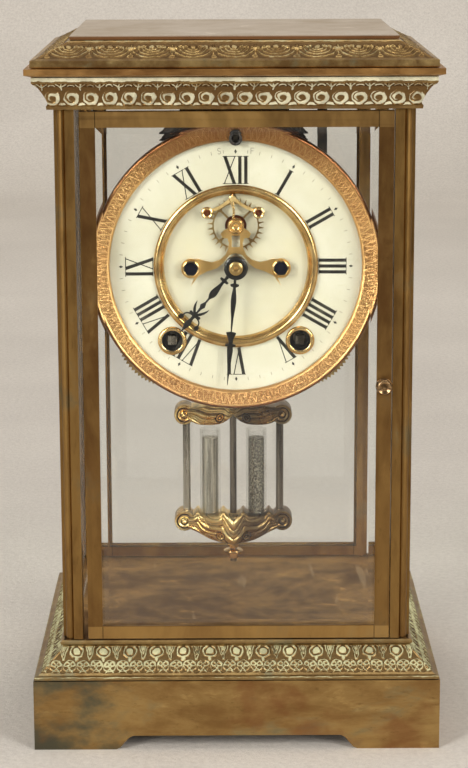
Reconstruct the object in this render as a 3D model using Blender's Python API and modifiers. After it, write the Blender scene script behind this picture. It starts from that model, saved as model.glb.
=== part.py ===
"""A regulator clock: a brass case with four bevelled glasses, an open-escapement dial,
an eight-day time and strike movement hung from the top, a coiled gong and a pendulum
with two tubes. Metres, +Z up, the front faces -Y, the origin is under the base's middle.

Dial, wheels and hands are drawn in a frame of their own: x to the right, y up and
z forward, so a depth there is a distance in front of the case's middle.
"""

import math

import bmesh
import bpy
from mathutils import Matrix

# Clearances and overruns
SEAT = 0.0003                     # between a piece and what it rests on
RUN = 0.0003                      # round a turning piece
OVERRUN = 0.0010                  # a cutter's reach past the face that it leaves by
WELD = 0.000001                   # points nearer than this are one point
STEP = 0.0002                     # between joined faces that would lie in one plane
BEARING_SHARE = 0.75              # how deep an arbor's end stands in its plate

# The case, from the ground up
PLINTH_OUT = 0.0113               # the plinth stands this far outside the pillars
PLINTH_HEIGHT = 0.02845
PLINTH_WALL = 0.0030
PLINTH_TOP = 0.0030
FOOT_LENGTH = 0.0325
FOOT_GAP_HEIGHT = 0.0057
FOOT_SHOULDER = 0.0067
BASE_MOULDING_HEIGHT = 0.01315
BASE_MOULDING_LEDGE = 0.0004      # the plinth shows this much in front of the moulding
PILLAR_LENGTH = 0.2104
PILLAR_SIZE = 0.0080
BEZEL_ROOM = 0.0050               # between the bezel and the pillars' inner sides
HAND_ROOM = 0.0018                # between the hands' cap and the front glass
CORNICE_HEIGHT = 0.0124
CORNICE_OUT = 0.0074              # its top stands this far outside the pillars
CORNICE_FOOT_OUT = 0.0021         # the cornice's foot stands this far outside the pillars
CORNICE_WALL = 0.0029
SLAB_THICKNESS = 0.0030
SLAB_OUT = 0.0025                 # and the slab this far outside the cornice
SLAB_UNDERCUT = 0.0024
CAP_HEIGHT = 0.0093
CAP_INSET = 0.0022                # from the slab's edge to the cap's foot
CAP_RUN = 0.0134                  # how far the cap slopes in
CAP_WALL = 0.0070
PANEL_THICKNESS = 0.0015
PANEL_INSET = 0.0008              # from the cap's top edge to the panel's
FLOOR_THICKNESS = 0.0018
FLOOR_LEDGE = 0.0060              # what the floor plate rests on, all round
FLOOR_MARGIN = 0.0011             # from a pillar's outer side to the floor plate's edge
CEILING_THICKNESS = 0.0020

# A pillar's section, from its outer corner
COLUMN_RADIUS = 0.00195
COLUMN_INSET = 0.0031
COLUMN_NOTCH = 0.0044
GLASS_SLOT_INSET = 0.0023
GLASS_SLOT_DEPTH = 0.0020

# Glass
GLASS_RIM = 0.0016
GLASS_RISE = 0.0009
GLASS_BEVEL = 0.0046
SIDE_GLASS_THICKNESS = 0.0027
SIDE_GLASS_END_GAP = 0.0005

# Doors
DOOR_LATCH_GAP = 0.00045          # between the door and the pillar at its latch
DOOR_HINGE_GAP = 0.00215          # and at its hinge
DOOR_THICKNESS = 0.0045
DOOR_END_GAP = 0.0005
STILE_WIDTH = 0.0058
BOTTOM_RAIL_WIDTH = 0.0052
TOP_RAIL_WIDTH = 0.0061
REBATE_WIDTH = 0.0010
LIP_THICKNESS = 0.0012
GLASS_MARGIN = 0.0003             # a pane's edge to its rebate's wall
HINGE_INSET = 0.0024              # from the stile's outer edge to the hinge's axis
HINGE_DEPTH = 0.0027              # and from its face
HINGE_PIN_RADIUS = 0.0008
HINGE_PIN_REACH = 0.0014          # how far a pin stands into the floor and the ceiling
KNOB_RADIUS = 0.0033
KNOB_LENGTH = 0.0032
KNOB_HEIGHT = 0.1450              # above the ground
KNOB_SHARES = ((0.0, 1.0), (0.45, 1.0), (0.85, 0.84), (1.0, 0.55), (0.85, 0.28), (0.6, 0.16),
               (0.6, 0.0), (0.0, 0.0))
SPINDLE_RADIUS = 0.0011
LATCH_REACH = 0.0026              # short, so that it clears the pillar at any angle
LATCH_HALF_HEIGHT = 0.0012
LATCH_THICKNESS = 0.0010

# Where the dial is, and the depths of what lies behind and before it
DIAL_X = 0.0003
DIAL_TOP_ROOM = 0.00606           # between the bezel and the ceiling
PLATE_THICKNESS = 0.0015
BACK_PLATE_DEPTH = 0.0045
PLATE_SPAN = 0.0340               # from the back plate to the front plate
PLATE_INSET = 0.0090              # from the dial pan's edge to the plates'
PLATE_PILLAR_RADIUS = 0.0020
PLATE_PILLAR_PLACES = ((0.0, -0.0410), (-0.0415, 0.0040), (0.0415, 0.0040),
                       (-0.0240, 0.0340), (0.0240, 0.0340))

# Dial
PAN_INSET = 0.0016                # from the bezel's edge to the pan's
PAN_SHEET = 0.0010
PAN_GAP = 0.0042                  # between the front plate and the pan
PAN_LEDGE = 0.0060                # under the recessed disc's edge
PAN_ROOM = 0.0005                 # round the recessed disc
PAN_STEP = 0.0023                 # from the pan's floor to its flange
CHAPTER_THICKNESS = 0.0016
CHAPTER_WIDTH = 0.0199
BEZEL_OUT = 0.0052                # how far the bezel reaches past the porcelain
BEZEL_HEIGHT = 0.0050
BEZEL_OVERLAP = 0.00186           # how far it covers the porcelain
SIGHT_INNER_RADIUS = 0.0279
SIGHT_WIDTH = 0.0041
SIGHT_OVERLAP = 0.0010            # how far the ring covers the porcelain
SIGHT_FLANGE = 0.0016             # from its barrel's outside to its edge
SIGHT_RISE = 0.0012
DISC_MARGIN = 0.0004              # inside the sight ring's barrel
DISC_THICKNESS = 0.0011
HAND_HOLE_RADIUS = 0.0031
ARBOR_HOLE_RADIUS = 0.0015
GROMMET_RADIUS = 0.00565
GROMMET_BARREL_RADIUS = 0.0047
GROMMET_BORE_RADIUS = 0.0041
GROMMET_RISE = 0.0007
REGULATOR_INSET = 0.0009          # from the porcelain's edge to its arbor
REGULATOR_HOLE_RADIUS = 0.0023
REGULATOR_RADIUS = 0.0010
REGULATOR_SQUARE = 0.0017
REGULATOR_RISE = 0.0013           # in front of the porcelain
REGULATOR_SQUARE_LENGTH = 0.0030

# Hands
CENTRE_ARBOR_RADIUS = 0.0010
ARBOR_RADIUS = 0.0007
HAND_OVER = 0.0013                # between the bridge and the hour hand
HAND_GAP = 0.0008                 # between the hands
HAND_THICKNESS = 0.0006
HOUR_HAND_LENGTH = 0.0334
MINUTE_HAND_LENGTH = 0.0465
HOUR_HAND_ANGLE = 220.5           # degrees, clockwise from the dial's top
MINUTE_HAND_ANGLE = 184.3
HOUR_PIPE_RADIUS = 0.0024
COLLET_RADIUS = 0.0047
COLLET_HEIGHT = 0.0009
ARBOR_CAP_RADIUS = 0.0027          # the brass cap in front of the minute hand
ARBOR_CAP_HEIGHT = 0.0007
HOUR_PIPE_REACH = 0.0012          # behind the dial pan

# Train: a wheel has pointed teeth, and its pinion meshes with it
BARREL_PLACE = (-0.0250, -0.0293)
STRIKE_PLACE = (0.0250, -0.0293)
MAIN_TEETH = 84
MAIN_PITCH_RADIUS = 0.02265
MAIN_PINION_TEETH = 14
MAIN_WHEEL_BEHIND = 0.0090        # each from the front plate's back
MAIN_WHEEL_THICKNESS = 0.0017
DRUM_RADIUS = 0.0195
DRUM_GAP = 0.0030                 # between the back plate and the drum
WINDING_ARBOR_RADIUS = 0.0024
WINDING_SQUARE = 0.0034
WINDING_SQUARE_BEHIND = 0.0022    # where the square begins, behind the pan
WINDING_SQUARE_SHORT = 0.0002     # its end, behind the porcelain's front
WHEEL_THICKNESS = 0.0008
PINION_OVERLAP = 0.0006           # a pinion is longer than its wheel by this at each end
SECOND_TEETH = 60
SECOND_PITCH_RADIUS = 0.0165
CENTRE_PINION_TEETH = 10
SECOND_WHEEL_BEHIND = 0.0059
CENTRE_TEETH = 60
CENTRE_PITCH_RADIUS = 0.0135
THIRD_PINION_TEETH = 10
CENTRE_WHEEL_BEHIND = 0.0025
THIRD_TEETH = 48
THIRD_PITCH_RADIUS = 0.0108
ESCAPE_PINION_TEETH = 8
THIRD_WHEEL_GAP = 0.0092          # from the back plate's front
TOOTH_TIP = 0.00044               # a tooth's height outside its pitch circle
TOOTH_ROOT = 0.00062              # and the gap's depth inside it
RIM_WIDTH = 0.0020
HUB_RADIUS = 0.0028
SPOKE_WIDTH = 0.0016
PIN_WHEEL_RADIUS = 0.0130
PIN_WHEEL_TEETH = 54
PIN_WHEEL_BEHIND = 0.0049
PIN_COUNT = 8
PIN_CIRCLE_RADIUS = 0.0105
PIN_RADIUS = 0.0004
PIN_LENGTH = 0.0016

# Escapement, in front of the dial's recessed middle
ESCAPE_UP = 0.01586
ESCAPE_TEETH = 30
ESCAPE_TIP_RADIUS = 0.0099
ESCAPE_ROOT_RADIUS = 0.0089
ESCAPE_RIM_RADIUS = 0.0084
ESCAPE_HUB_RADIUS = 0.0024
ESCAPE_SPOKE_WIDTH = 0.0010
ESCAPE_GAP = 0.0014               # in front of the recessed disc
ESCAPE_THICKNESS = 0.0007
ANCHOR_UP = 0.0266
ANCHOR_BOSS_RADIUS = 0.0012
ANCHOR_ARM_WIDTH = 0.0013
ANCHOR_THICKNESS = 0.0008
PALLET_RADIUS = 0.0021
PALLET_HEIGHT = 0.0008
PALLET_ACROSS = 0.0100
PALLET_DROP = 0.0055
ANCHOR_BEND_SHARES = (0.5, 0.62)  # where its arm bends, across and down
BRIDGE_THICKNESS = 0.0007
BRIDGE_HALF_SPAN = 0.0175
BRIDGE_LUG_RADIUS = 0.0039
BRIDGE_FOOT_RADIUS = 0.0024
BRIDGE_BOSS_RADIUS = 0.0032
BRIDGE_BOSS_RISE = 0.0005
BRIDGE_WINDOW_HALF_WIDTH = 0.0016
BRIDGE_WINDOW_HEIGHT = 0.0046
BRIDGE_WINDOW_FOOT = 0.0083       # the window's foot above the lugs' middles
BRIDGE_DROP = 0.0007              # the lugs' middles lie this far under the dial's centre
SCREW_HEAD_RADIUS = 0.0025
SCREW_HEAD_HEIGHT = 0.0006
SCREW_SHANK_RADIUS = 0.0009
SCREW_SLOT_WIDTH = 0.0006
SCREW_SLOT_DEPTH = 0.0003

# Half the bridge's outline, from under the escape wheel's boss to the middle again.
# Across is a share of half its span, and up is a share of the escape wheel's height.
BRIDGE_SHARES = ((0.150, 0.965), (0.269, 0.895), (0.337, 0.820), (0.294, 0.725),
                 (0.183, 0.710), (0.153, 0.597), (0.167, 0.467), (0.234, 0.315),
                 (0.354, 0.202), (0.526, 0.145), (0.691, 0.177), (0.829, 0.225))
BRIDGE_MIDDLE_SHARE = 0.36        # its lower edge in the middle
BRIDGE_UNDER_SHARES = ((0.925, -0.227), (1.006, -0.416), (0.829, -0.170), (0.640, -0.070),
                       (0.423, 0.006), (0.303, 0.107), (0.217, 0.221), (0.131, 0.322))

# Pendulum
PENDULUM_X = -0.0008
PENDULUM_BACK = 0.0170            # behind the case's middle
PENDULUM_ROD_RADIUS = 0.00145
PENDULUM_ROD_FOOT_Z = 0.0516
ROD_TOP_DROP = 0.0015             # the rod's top, under the pivot
SPRING_HALF_WIDTH = 0.0015
SPRING_THICKNESS = 0.0003
COCK_RISE = 0.0052                # the cock's underside above the pivot
COCK_HEIGHT = 0.0040
COCK_HALF_WIDTH = 0.0040
COCK_SLOT_HALF_WIDTH = 0.0012
COCK_FOOT_HALF_WIDTH = 0.0060
COCK_FOOT_THICKNESS = 0.0020
COCK_MARGIN = 0.0030              # of the cock round its regulator hole and spring slot
HANGING_PIN_RADIUS = 0.0005
SIDE_ROD_RADIUS = 0.0016
SIDE_ROD_ACROSS = 0.0198
TUBE_RADIUS = 0.0044
TUBE_WALL = 0.0008
TUBE_ACROSS = 0.0098
COLUMN_TOP_Z = 0.1063
BRACKET_THICKNESS = 0.0090
VOLUTE_RADIUS = 0.0039
VOLUTE_THICKNESS = 0.0100
LOWER_SEAT_Z = 0.0734             # where the tubes stand
LOWER_HEIGHT = 0.0158             # from the seat to the lowest leaf
LOWER_VOLUTE_ACROSS = 0.0213
LOWER_VOLUTE_DROP = 0.0041
UPPER_SEAT_Z = 0.1104
UPPER_HEIGHT = 0.0120
UPPER_VOLUTE_ACROSS = 0.0209
UPPER_VOLUTE_RISE = 0.0062
BRACKET_SOCKET_DEPTH = 0.0040
NUT_TOP_Z = 0.0571
NUT_HEIGHT = 0.0040
NUT_RADIUS = 0.0041
NUT_SHARES = ((0.55, 0.0), (0.72, 0.25), (0.55, 0.5), (1.0, 0.6), (1.0, 0.8), (0.5, 1.0))

# Half of each bracket's outline: across as a share of its volute's place, and up as a
# share of its height, from the seat away from the tubes.
LOWER_SHARES = ((0.0, 0.03), (0.10, 0.02), (0.19, -0.05), (0.23, -0.15), (0.26, 0.0),
                (0.66, 0.0), (0.69, -0.15), (0.74, -0.05), (0.82, 0.02))
LOWER_UNDER_SHARES = ((0.92, 0.52), (0.76, 0.58), (0.60, 0.72), (0.40, 0.86),
                      (0.20, 0.96), (0.0, 1.0))
UPPER_SHARES = ((0.0, 0.20), (0.12, 0.16), (0.22, 0.05), (0.28, 0.0), (0.66, 0.0),
                (0.74, 0.08), (0.82, 0.22))
UPPER_UNDER_SHARES = ((0.94, 0.86), (0.80, 0.82), (0.62, 0.94), (0.40, 1.0),
                      (0.20, 0.96), (0.0, 0.90))

# Crutch, on the anchor's arbor behind the back plate
CRUTCH_FRONT_BACK = 0.0065        # how far behind the case's middle its arm lies
CRUTCH_THICKNESS = 0.0015
CRUTCH_HALF_WIDTH = 0.0012
CRUTCH_LENGTH = 0.0240
CRUTCH_FORK_HALF_WIDTH = 0.0034
CRUTCH_FORK_HEIGHT = 0.0030
CRUTCH_FORK_REACH = 0.0035        # past the pendulum rod's middle

# Hanger of the movement, from the case's ceiling
HANGER_THICKNESS = 0.0020
HANGER_OFFSET = -0.0006           # its middle lies to the left of the dial's
HANGER_NECK_HALF_WIDTH = 0.0200
HANGER_BAR_HALF_WIDTH = 0.0249
HANGER_BAR_HEIGHT = 0.0038
HANGER_BAR_BOW = 0.0006           # its underside rises towards the middle
HANGER_FOOT_HALF_WIDTH = 0.0281
HANGER_FOOT_UP = 0.0493           # its tips above the dial's centre
HANGER_TAB_HALF_WIDTH = 0.0180
HANGER_TAB_LENGTH = 0.0160
HANGER_FLANGE_DEPTH = 0.0150

# Gong and hammer
GONG_POST_X = 0.0371
GONG_POST_BACK = 0.0300
GONG_POST_WIDTH = 0.0040
GONG_POST_THICKNESS = 0.0024
GONG_BLOCK_HALF = 0.0024
GONG_BLOCK_HEIGHT = 0.0060
GONG_WIRE_RADIUS = 0.0009
GONG_OUTER_RADIUS = 0.0260
GONG_INNER_RADIUS = 0.0110
GONG_LOOPS = 4
GONG_LOOP_POINTS = 24
GONG_CENTRE_Z = 0.1880
HAMMER_PLACE = (0.0345, 0.0060)
HAMMER_TAIL_LENGTH = 0.0071
HAMMER_TAIL_HALF_WIDTH = 0.0007
HAMMER_WIRE_RADIUS = 0.0008
HAMMER_HEAD_RADIUS = 0.0025
HAMMER_HEAD_LENGTH = 0.0060
HAMMER_GAP = 0.0007               # between the head at rest and the gong's wire
HAMMER_STRIKE_ANGLE = -35.0       # degrees, where on the gong's outer turn it strikes
HAMMER_ARM_FRONT_BACK = 0.0020    # how far behind the case's middle its wire begins
HAMMER_ARM_DROP_SHARES = ((0.10, 0.0), (0.72, 0.06), (0.93, 0.84))

# Profiles: how far out, as a share of the overhang, and how high, as a share of height
BASE_SHARES = ((1.0, 0.0), (1.0, 0.085), (0.86, 0.125), (0.79, 0.165), (0.0, 0.795),
               (0.085, 0.885), (0.085, 0.955), (0.03, 1.0))
CORNICE_SHARES = ((0.0, 0.0), (0.04, 0.097), (-0.11, 0.161), (-0.04, 0.242), (0.23, 0.468),
                  (0.58, 0.685), (0.94, 0.80), (1.0, 0.847), (1.0, 1.0))
CAP_SHARES = ((0.985, 0.0), (1.0, 0.12), (1.0, 0.29), (0.85, 0.355), (0.48, 0.60),
              (0.0, 0.97), (-0.03, 1.0))

# Facets of a full turn
FINE_SIDES = 48
ROUND_SIDES = 24
SMALL_SIDES = 12

# Heights that follow from the sizes
MOULDING_Z = PLINTH_HEIGHT + SEAT
FLOOR_Z = MOULDING_Z + BASE_MOULDING_HEIGHT
PILLAR_Z = FLOOR_Z + SEAT
CORNICE_Z = PILLAR_Z + PILLAR_LENGTH + SEAT
SLAB_Z = CORNICE_Z + CORNICE_HEIGHT + SEAT
CAP_Z = SLAB_Z + SLAB_THICKNESS + SEAT
PANEL_Z = CAP_Z + CAP_HEIGHT + SEAT
SIGHT_OUTER_RADIUS = SIGHT_INNER_RADIUS + SIGHT_WIDTH
SIGHT_BARREL_RADIUS = SIGHT_OUTER_RADIUS - SIGHT_FLANGE
DISC_RADIUS = SIGHT_BARREL_RADIUS - DISC_MARGIN
CHAPTER_INNER_RADIUS = SIGHT_OUTER_RADIUS - SIGHT_OVERLAP
CHAPTER_OUTER_RADIUS = CHAPTER_INNER_RADIUS + CHAPTER_WIDTH
BEZEL_LIP_RADIUS = CHAPTER_OUTER_RADIUS - BEZEL_OVERLAP
BEZEL_RADIUS = CHAPTER_OUTER_RADIUS + BEZEL_OUT
REGULATOR_UP = CHAPTER_OUTER_RADIUS - REGULATOR_INSET
PAN_RADIUS = BEZEL_RADIUS - PAN_INSET
PAN_OPENING_RADIUS = DISC_RADIUS - PAN_LEDGE
PAN_STEP_RADIUS = DISC_RADIUS + PAN_ROOM
PLATE_RADIUS = PAN_RADIUS - PLATE_INSET
BACK_PLATE_FRONT = BACK_PLATE_DEPTH + PLATE_THICKNESS
FRONT_PLATE_DEPTH = BACK_PLATE_DEPTH + PLATE_SPAN
DRUM_BACK = BACK_PLATE_FRONT + DRUM_GAP
THIRD_WHEEL_BACK = BACK_PLATE_FRONT + THIRD_WHEEL_GAP
MAIN_WHEEL_BACK = FRONT_PLATE_DEPTH - MAIN_WHEEL_BEHIND
SECOND_WHEEL_BACK = FRONT_PLATE_DEPTH - SECOND_WHEEL_BEHIND
PIN_WHEEL_BACK = FRONT_PLATE_DEPTH - PIN_WHEEL_BEHIND
CENTRE_WHEEL_BACK = FRONT_PLATE_DEPTH - CENTRE_WHEEL_BEHIND
PAN_BACK = FRONT_PLATE_DEPTH + PLATE_THICKNESS + PAN_GAP
WINDING_SQUARE_BACK = PAN_BACK - WINDING_SQUARE_BEHIND
HOUR_PIPE_BACK = PAN_BACK - HOUR_PIPE_REACH
DISC_BACK = PAN_BACK + PAN_SHEET + SEAT
DISC_FRONT = DISC_BACK + DISC_THICKNESS
FLANGE_BACK = PAN_BACK + PAN_STEP
FLANGE_FRONT = FLANGE_BACK + PAN_SHEET
CHAPTER_BACK = FLANGE_FRONT + SEAT
CHAPTER_FRONT = CHAPTER_BACK + CHAPTER_THICKNESS
WINDING_SQUARE_FRONT = CHAPTER_FRONT - WINDING_SQUARE_SHORT
REGULATOR_FRONT = CHAPTER_FRONT + REGULATOR_RISE
ESCAPE_BACK = DISC_FRONT + ESCAPE_GAP
ANCHOR_BACK = ESCAPE_BACK + ESCAPE_THICKNESS + RUN
BRIDGE_BACK = ANCHOR_BACK + SEAT
HOUR_HAND_DEPTH = BRIDGE_BACK + BRIDGE_THICKNESS + HAND_OVER
MINUTE_HAND_DEPTH = HOUR_HAND_DEPTH + HAND_THICKNESS + HAND_GAP
PILLAR_HALF_WIDTH = BEZEL_RADIUS + BEZEL_ROOM + PILLAR_SIZE
PLINTH_HALF_WIDTH = PILLAR_HALF_WIDTH + PLINTH_OUT
CORNICE_HALF_WIDTH = PILLAR_HALF_WIDTH + CORNICE_OUT
SLAB_HALF_WIDTH = CORNICE_HALF_WIDTH + SLAB_OUT
CAP_HALF_WIDTH = SLAB_HALF_WIDTH - CAP_INSET
CAP_TOP_HALF_WIDTH = CAP_HALF_WIDTH - CAP_RUN
PANEL_HALF_WIDTH = CAP_TOP_HALF_WIDTH - PANEL_INSET
CAP_BACK = MINUTE_HAND_DEPTH + HAND_THICKNESS + COLLET_HEIGHT + SEAT
PILLAR_HALF_DEPTH = (CAP_BACK + ARBOR_CAP_HEIGHT + HAND_ROOM + GLASS_RIM + SEAT
                     + LIP_THICKNESS)
DEPTH_LESS = PILLAR_HALF_WIDTH - PILLAR_HALF_DEPTH   # at every level, on each half
DOOR_LATCH_X = PILLAR_HALF_WIDTH - PILLAR_SIZE - DOOR_LATCH_GAP
DOOR_HINGE_X = DOOR_HINGE_GAP + PILLAR_SIZE - PILLAR_HALF_WIDTH
DIAL_Z = CORNICE_Z - DIAL_TOP_ROOM - BEZEL_RADIUS

FORWARD = Matrix.Rotation(math.pi / 2, 4, "X")
PARTS = "regulator_clock"
CUTTERS = "cutters"


def start():
    """Clears the scene, and makes the collections for the parts and for the cutters."""
    for old in list(bpy.data.objects):
        bpy.data.objects.remove(old, do_unlink=True)
    for name in (PARTS, CUTTERS):
        group = bpy.data.collections.new(name)
        bpy.context.scene.collection.children.link(group)
        if name == CUTTERS:
            group.hide_render = True


def finish_of(name, color, metallic, roughness, alpha=1.0):
    """A Principled material."""
    made = bpy.data.materials.new(name)
    made.use_nodes = True
    shader = made.node_tree.nodes["Principled BSDF"]
    shader.inputs["Base Color"].default_value = (*color, 1.0)
    shader.inputs["Metallic"].default_value = metallic
    shader.inputs["Roughness"].default_value = roughness
    shader.inputs["Alpha"].default_value = alpha
    return made


FINISHES = {
    "aged_brass": ((0.36, 0.24, 0.10), 1.0, 0.42),
    "dark_floor": ((0.16, 0.10, 0.06), 1.0, 0.50),
    "glass": ((0.90, 0.94, 0.93), 0.0, 0.03, 0.20),
    "copper_gilt": ((0.78, 0.45, 0.22), 1.0, 0.35),
    "porcelain": ((0.88, 0.86, 0.74), 0.0, 0.15),
    "gilt": ((0.80, 0.56, 0.24), 1.0, 0.30),
    "clock_brass": ((0.66, 0.50, 0.24), 1.0, 0.35),
    "blued_black": ((0.012, 0.012, 0.016), 0.6, 0.35),
    "steel": ((0.40, 0.40, 0.40), 1.0, 0.28),
    "black_iron": ((0.025, 0.022, 0.020), 0.5, 0.60),
    "quicksilver": ((0.55, 0.55, 0.53), 1.0, 0.18),
}


def shape(mesh, place):
    """A helper object in the cutters' collection."""
    made = bpy.data.objects.new("helper", mesh)
    bpy.data.collections[CUTTERS].objects.link(made)
    made.hide_render = True
    made.display_type = "WIRE"
    made.matrix_world = place
    return made


def shape_from(bm, place):
    """A helper object from a bmesh."""
    mesh = bpy.data.meshes.new("helper")
    bm.to_mesh(mesh)
    bm.free()
    return shape(mesh, place)


def piece(name, finish, base, joins=(), cuts=()):
    """Names a shape as a part, with its material, and joins and cuts it with others."""
    bpy.data.collections[CUTTERS].objects.unlink(base)
    bpy.data.collections[PARTS].objects.link(base)
    base.name = name
    base.data.name = name
    base.hide_render = False
    base.display_type = "TEXTURED"
    material = bpy.data.materials.get(finish) or finish_of(finish, *FINISHES[finish])
    base.data.materials.clear()
    base.data.materials.append(material)
    for others, operation in ((joins, "UNION"), (cuts, "DIFFERENCE")):
        for other in others:
            step = base.modifiers.new(operation.lower(), "BOOLEAN")
            step.operation = operation
            step.solver = "EXACT"
            step.object = other
    return base


def block(low, high, place=Matrix()):
    """A box between two corners."""
    bm = bmesh.new()
    bmesh.ops.create_cube(bm, size=1)
    for point in bm.verts:
        for axis in range(3):
            share = point.co[axis] + 0.5
            point.co[axis] = low[axis] + (high[axis] - low[axis]) * share
    return shape_from(bm, place)


def rod(radius, back, front, place, sides=SMALL_SIDES, across=0, up=0):
    """A cylinder along z from back to front."""
    bm = bmesh.new()
    middle = Matrix.Translation((across, up, (back + front) / 2))
    bmesh.ops.create_cone(bm, cap_ends=True, segments=sides, radius1=radius,
                          radius2=radius, depth=front - back, matrix=middle)
    for face in bm.faces:
        face.smooth = len(face.verts) == 4
    return shape_from(bm, place)


def lathe(profile, place, sides=FINE_SIDES, closed=True):
    """A profile of (radius, z), down its outer side, turned about z by a Screw."""
    mesh = bpy.data.meshes.new("helper")
    count = len(profile)
    edges = [(i, i + 1) for i in range(count - 1)] + ([(count - 1, 0)] if closed else [])
    mesh.from_pydata([(radius, 0.0, z) for radius, z in profile], edges, [])
    made = shape(mesh, place)
    screw = made.modifiers.new("turn", "SCREW")
    screw.axis = "Z"
    screw.angle = 2 * math.pi
    screw.steps = sides
    screw.render_steps = sides
    screw.use_merge_vertices = True
    screw.merge_threshold = WELD
    screw.use_smooth_shade = True
    return made


def mesh_of_curve(curve, place, lift=0.0):
    """A curve's shape as a welded mesh, so that it can be cut."""
    drawn = bpy.data.objects.new("drawn", curve)
    bpy.context.scene.collection.objects.link(drawn)
    evaluated = drawn.evaluated_get(bpy.context.evaluated_depsgraph_get())
    mesh = bpy.data.meshes.new_from_object(evaluated)
    bpy.data.objects.remove(drawn, do_unlink=True)
    bm = bmesh.new()
    bm.from_mesh(mesh)
    bmesh.ops.remove_doubles(bm, verts=bm.verts, dist=WELD)
    bmesh.ops.translate(bm, verts=bm.verts, vec=(0.0, 0.0, lift))
    bm.to_mesh(mesh)
    bm.free()
    return shape(mesh, place)


def flat(outlines, back, front, place):
    """Flat outlines, the first with the others as holes, filled from back to front."""
    curve = bpy.data.curves.new("outline", "CURVE")
    curve.dimensions = "2D"
    curve.fill_mode = "BOTH"
    curve.extrude = (front - back) / 2
    for outline in outlines:
        spline = curve.splines.new("POLY")
        spline.points.add(len(outline) - 1)
        for point, (across, up) in zip(spline.points, outline):
            point.co = (across, up, 0.0, 1.0)
        spline.use_cyclic_u = True
    return mesh_of_curve(curve, place, (back + front) / 2)


def tube(points, radius, place, resolution=1):
    """A wire along points, with filled ends."""
    curve = bpy.data.curves.new("wire", "CURVE")
    curve.dimensions = "3D"
    curve.bevel_depth = radius
    curve.bevel_resolution = resolution
    curve.use_fill_caps = True
    spline = curve.splines.new("POLY")
    spline.points.add(len(points) - 1)
    for point, place_of in zip(spline.points, points):
        point.co = (*place_of, 1.0)
    return mesh_of_curve(curve, place)


def circle(radius, across=0.0, up=0.0, sides=SMALL_SIDES):
    """The points of a circle."""
    turns = [2 * math.pi * i / sides for i in range(sides)]
    return [(across + radius * math.cos(t), up + radius * math.sin(t)) for t in turns]


def arc(radius, across, up, first, last, steps):
    """Points on a circle from one angle to another, in degrees."""
    turns = [math.radians(first + (last - first) * i / steps) for i in range(steps + 1)]
    return [(across + radius * math.cos(t), up + radius * math.sin(t)) for t in turns]


def mirrored(half):
    """An outline from its right half, which runs from the middle round to the middle."""
    return list(half) + [(-x, y) for x, y in reversed(half) if x > WELD]


def mitred_ring(section):
    """A moulding round the case: a closed section of (half width, z) swept round four
    mitred corners, with each half depth less than its half width by the same amount."""
    bm = bmesh.new()
    corners = ((1, -1), (1, 1), (-1, 1), (-1, -1))

    def at_corner(corner, level):
        half_width, z = level
        return (corner[0] * half_width, corner[1] * (half_width - DEPTH_LESS), z)

    points = [bm.verts.new(at_corner(corners[0], level)) for level in section]
    first = [bm.edges.new((points[i - 1], points[i])) for i in range(len(points))]
    edges = first
    for corner in corners[1:]:
        grown = bmesh.ops.extrude_edge_only(bm, edges=edges)["geom"]
        edges = [part for part in grown if isinstance(part, bmesh.types.BMEdge)
                 and part.is_boundary]
        rim = {point for edge in edges for point in edge.verts}
        for point in rim:
            level = min(section, key=lambda s: abs(s[0] - abs(point.co.x)) +
                        abs(s[1] - point.co.z))
            point.co = at_corner(corner, level)
    bmesh.ops.bridge_loops(bm, edges=first + edges)
    bmesh.ops.recalc_face_normals(bm, faces=bm.faces)
    return shape_from(bm, Matrix())


def mitred_block(section):
    """A solid slab round the case's middle, extruded up through levels of
    (half width, z)."""
    bm = bmesh.new()
    half_width, z = section[0]
    bmesh.ops.create_grid(bm, x_segments=1, y_segments=1, size=1)
    for point in bm.verts:
        point.co = (point.co.x * half_width, point.co.y * (half_width - DEPTH_LESS), z)
    top = list(bm.faces)
    under = []
    for half_width, z in section[1:]:
        grown = bmesh.ops.extrude_face_region(bm, geom=top)["geom"]
        bmesh.ops.delete(bm, geom=[face for face in under if face.is_valid],
                         context="FACES_ONLY")
        top = [part for part in grown if isinstance(part, bmesh.types.BMFace)]
        under = list(top)
        for point in {point for face in top for point in face.verts}:
            point.co = (math.copysign(half_width, point.co.x),
                        math.copysign(half_width - DEPTH_LESS, point.co.y), z)
    bmesh.ops.recalc_face_normals(bm, faces=bm.faces)
    return shape_from(bm, Matrix())


def pane(low, high, axis, side, place=Matrix()):
    """A plate of glass, bevelled all round on one face, which stands proud."""
    made = block(low, high, place)
    bm = bmesh.new()
    bm.from_mesh(made.data)
    bm.normal_update()
    face = next(f for f in bm.faces if f.normal[axis] * side > 0.5)
    bmesh.ops.inset_region(bm, faces=[face], thickness=GLASS_BEVEL, depth=0.0)
    level = face.calc_center_median()[axis]
    for point in set(bm.verts) - set(face.verts):
        if abs(point.co[axis] - level) < WELD:
            point.co[axis] -= side * GLASS_RISE
    bm.to_mesh(made.data)
    bm.free()
    return made


def from_dial(across=0.0, up=0.0):
    """The place of a piece that turns about an axis square to the dial."""
    return Matrix.Translation((DIAL_X + across, 0.0, DIAL_Z + up)) @ FORWARD


def profile_of(shares, low, high, foot, height):
    """A moulding's outer side: shares of its overhang and height as (half width, z)."""
    return [(low + (high - low) * out, foot + height * up) for out, up in shares]


def foot_gap(half_length, reach):
    """The gap between two bracket feet, as a cutter along z: its shoulders are ogees."""
    half = half_length - FOOT_LENGTH
    steps = 4
    rise = [(half - FOOT_SHOULDER * i / steps,
             FOOT_GAP_HEIGHT * (1 - math.cos(math.pi * i / steps)) / 2)
            for i in range(steps + 1)]
    return flat([mirrored([(half, -OVERRUN)] + rise)], -reach, reach, FORWARD)


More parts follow.
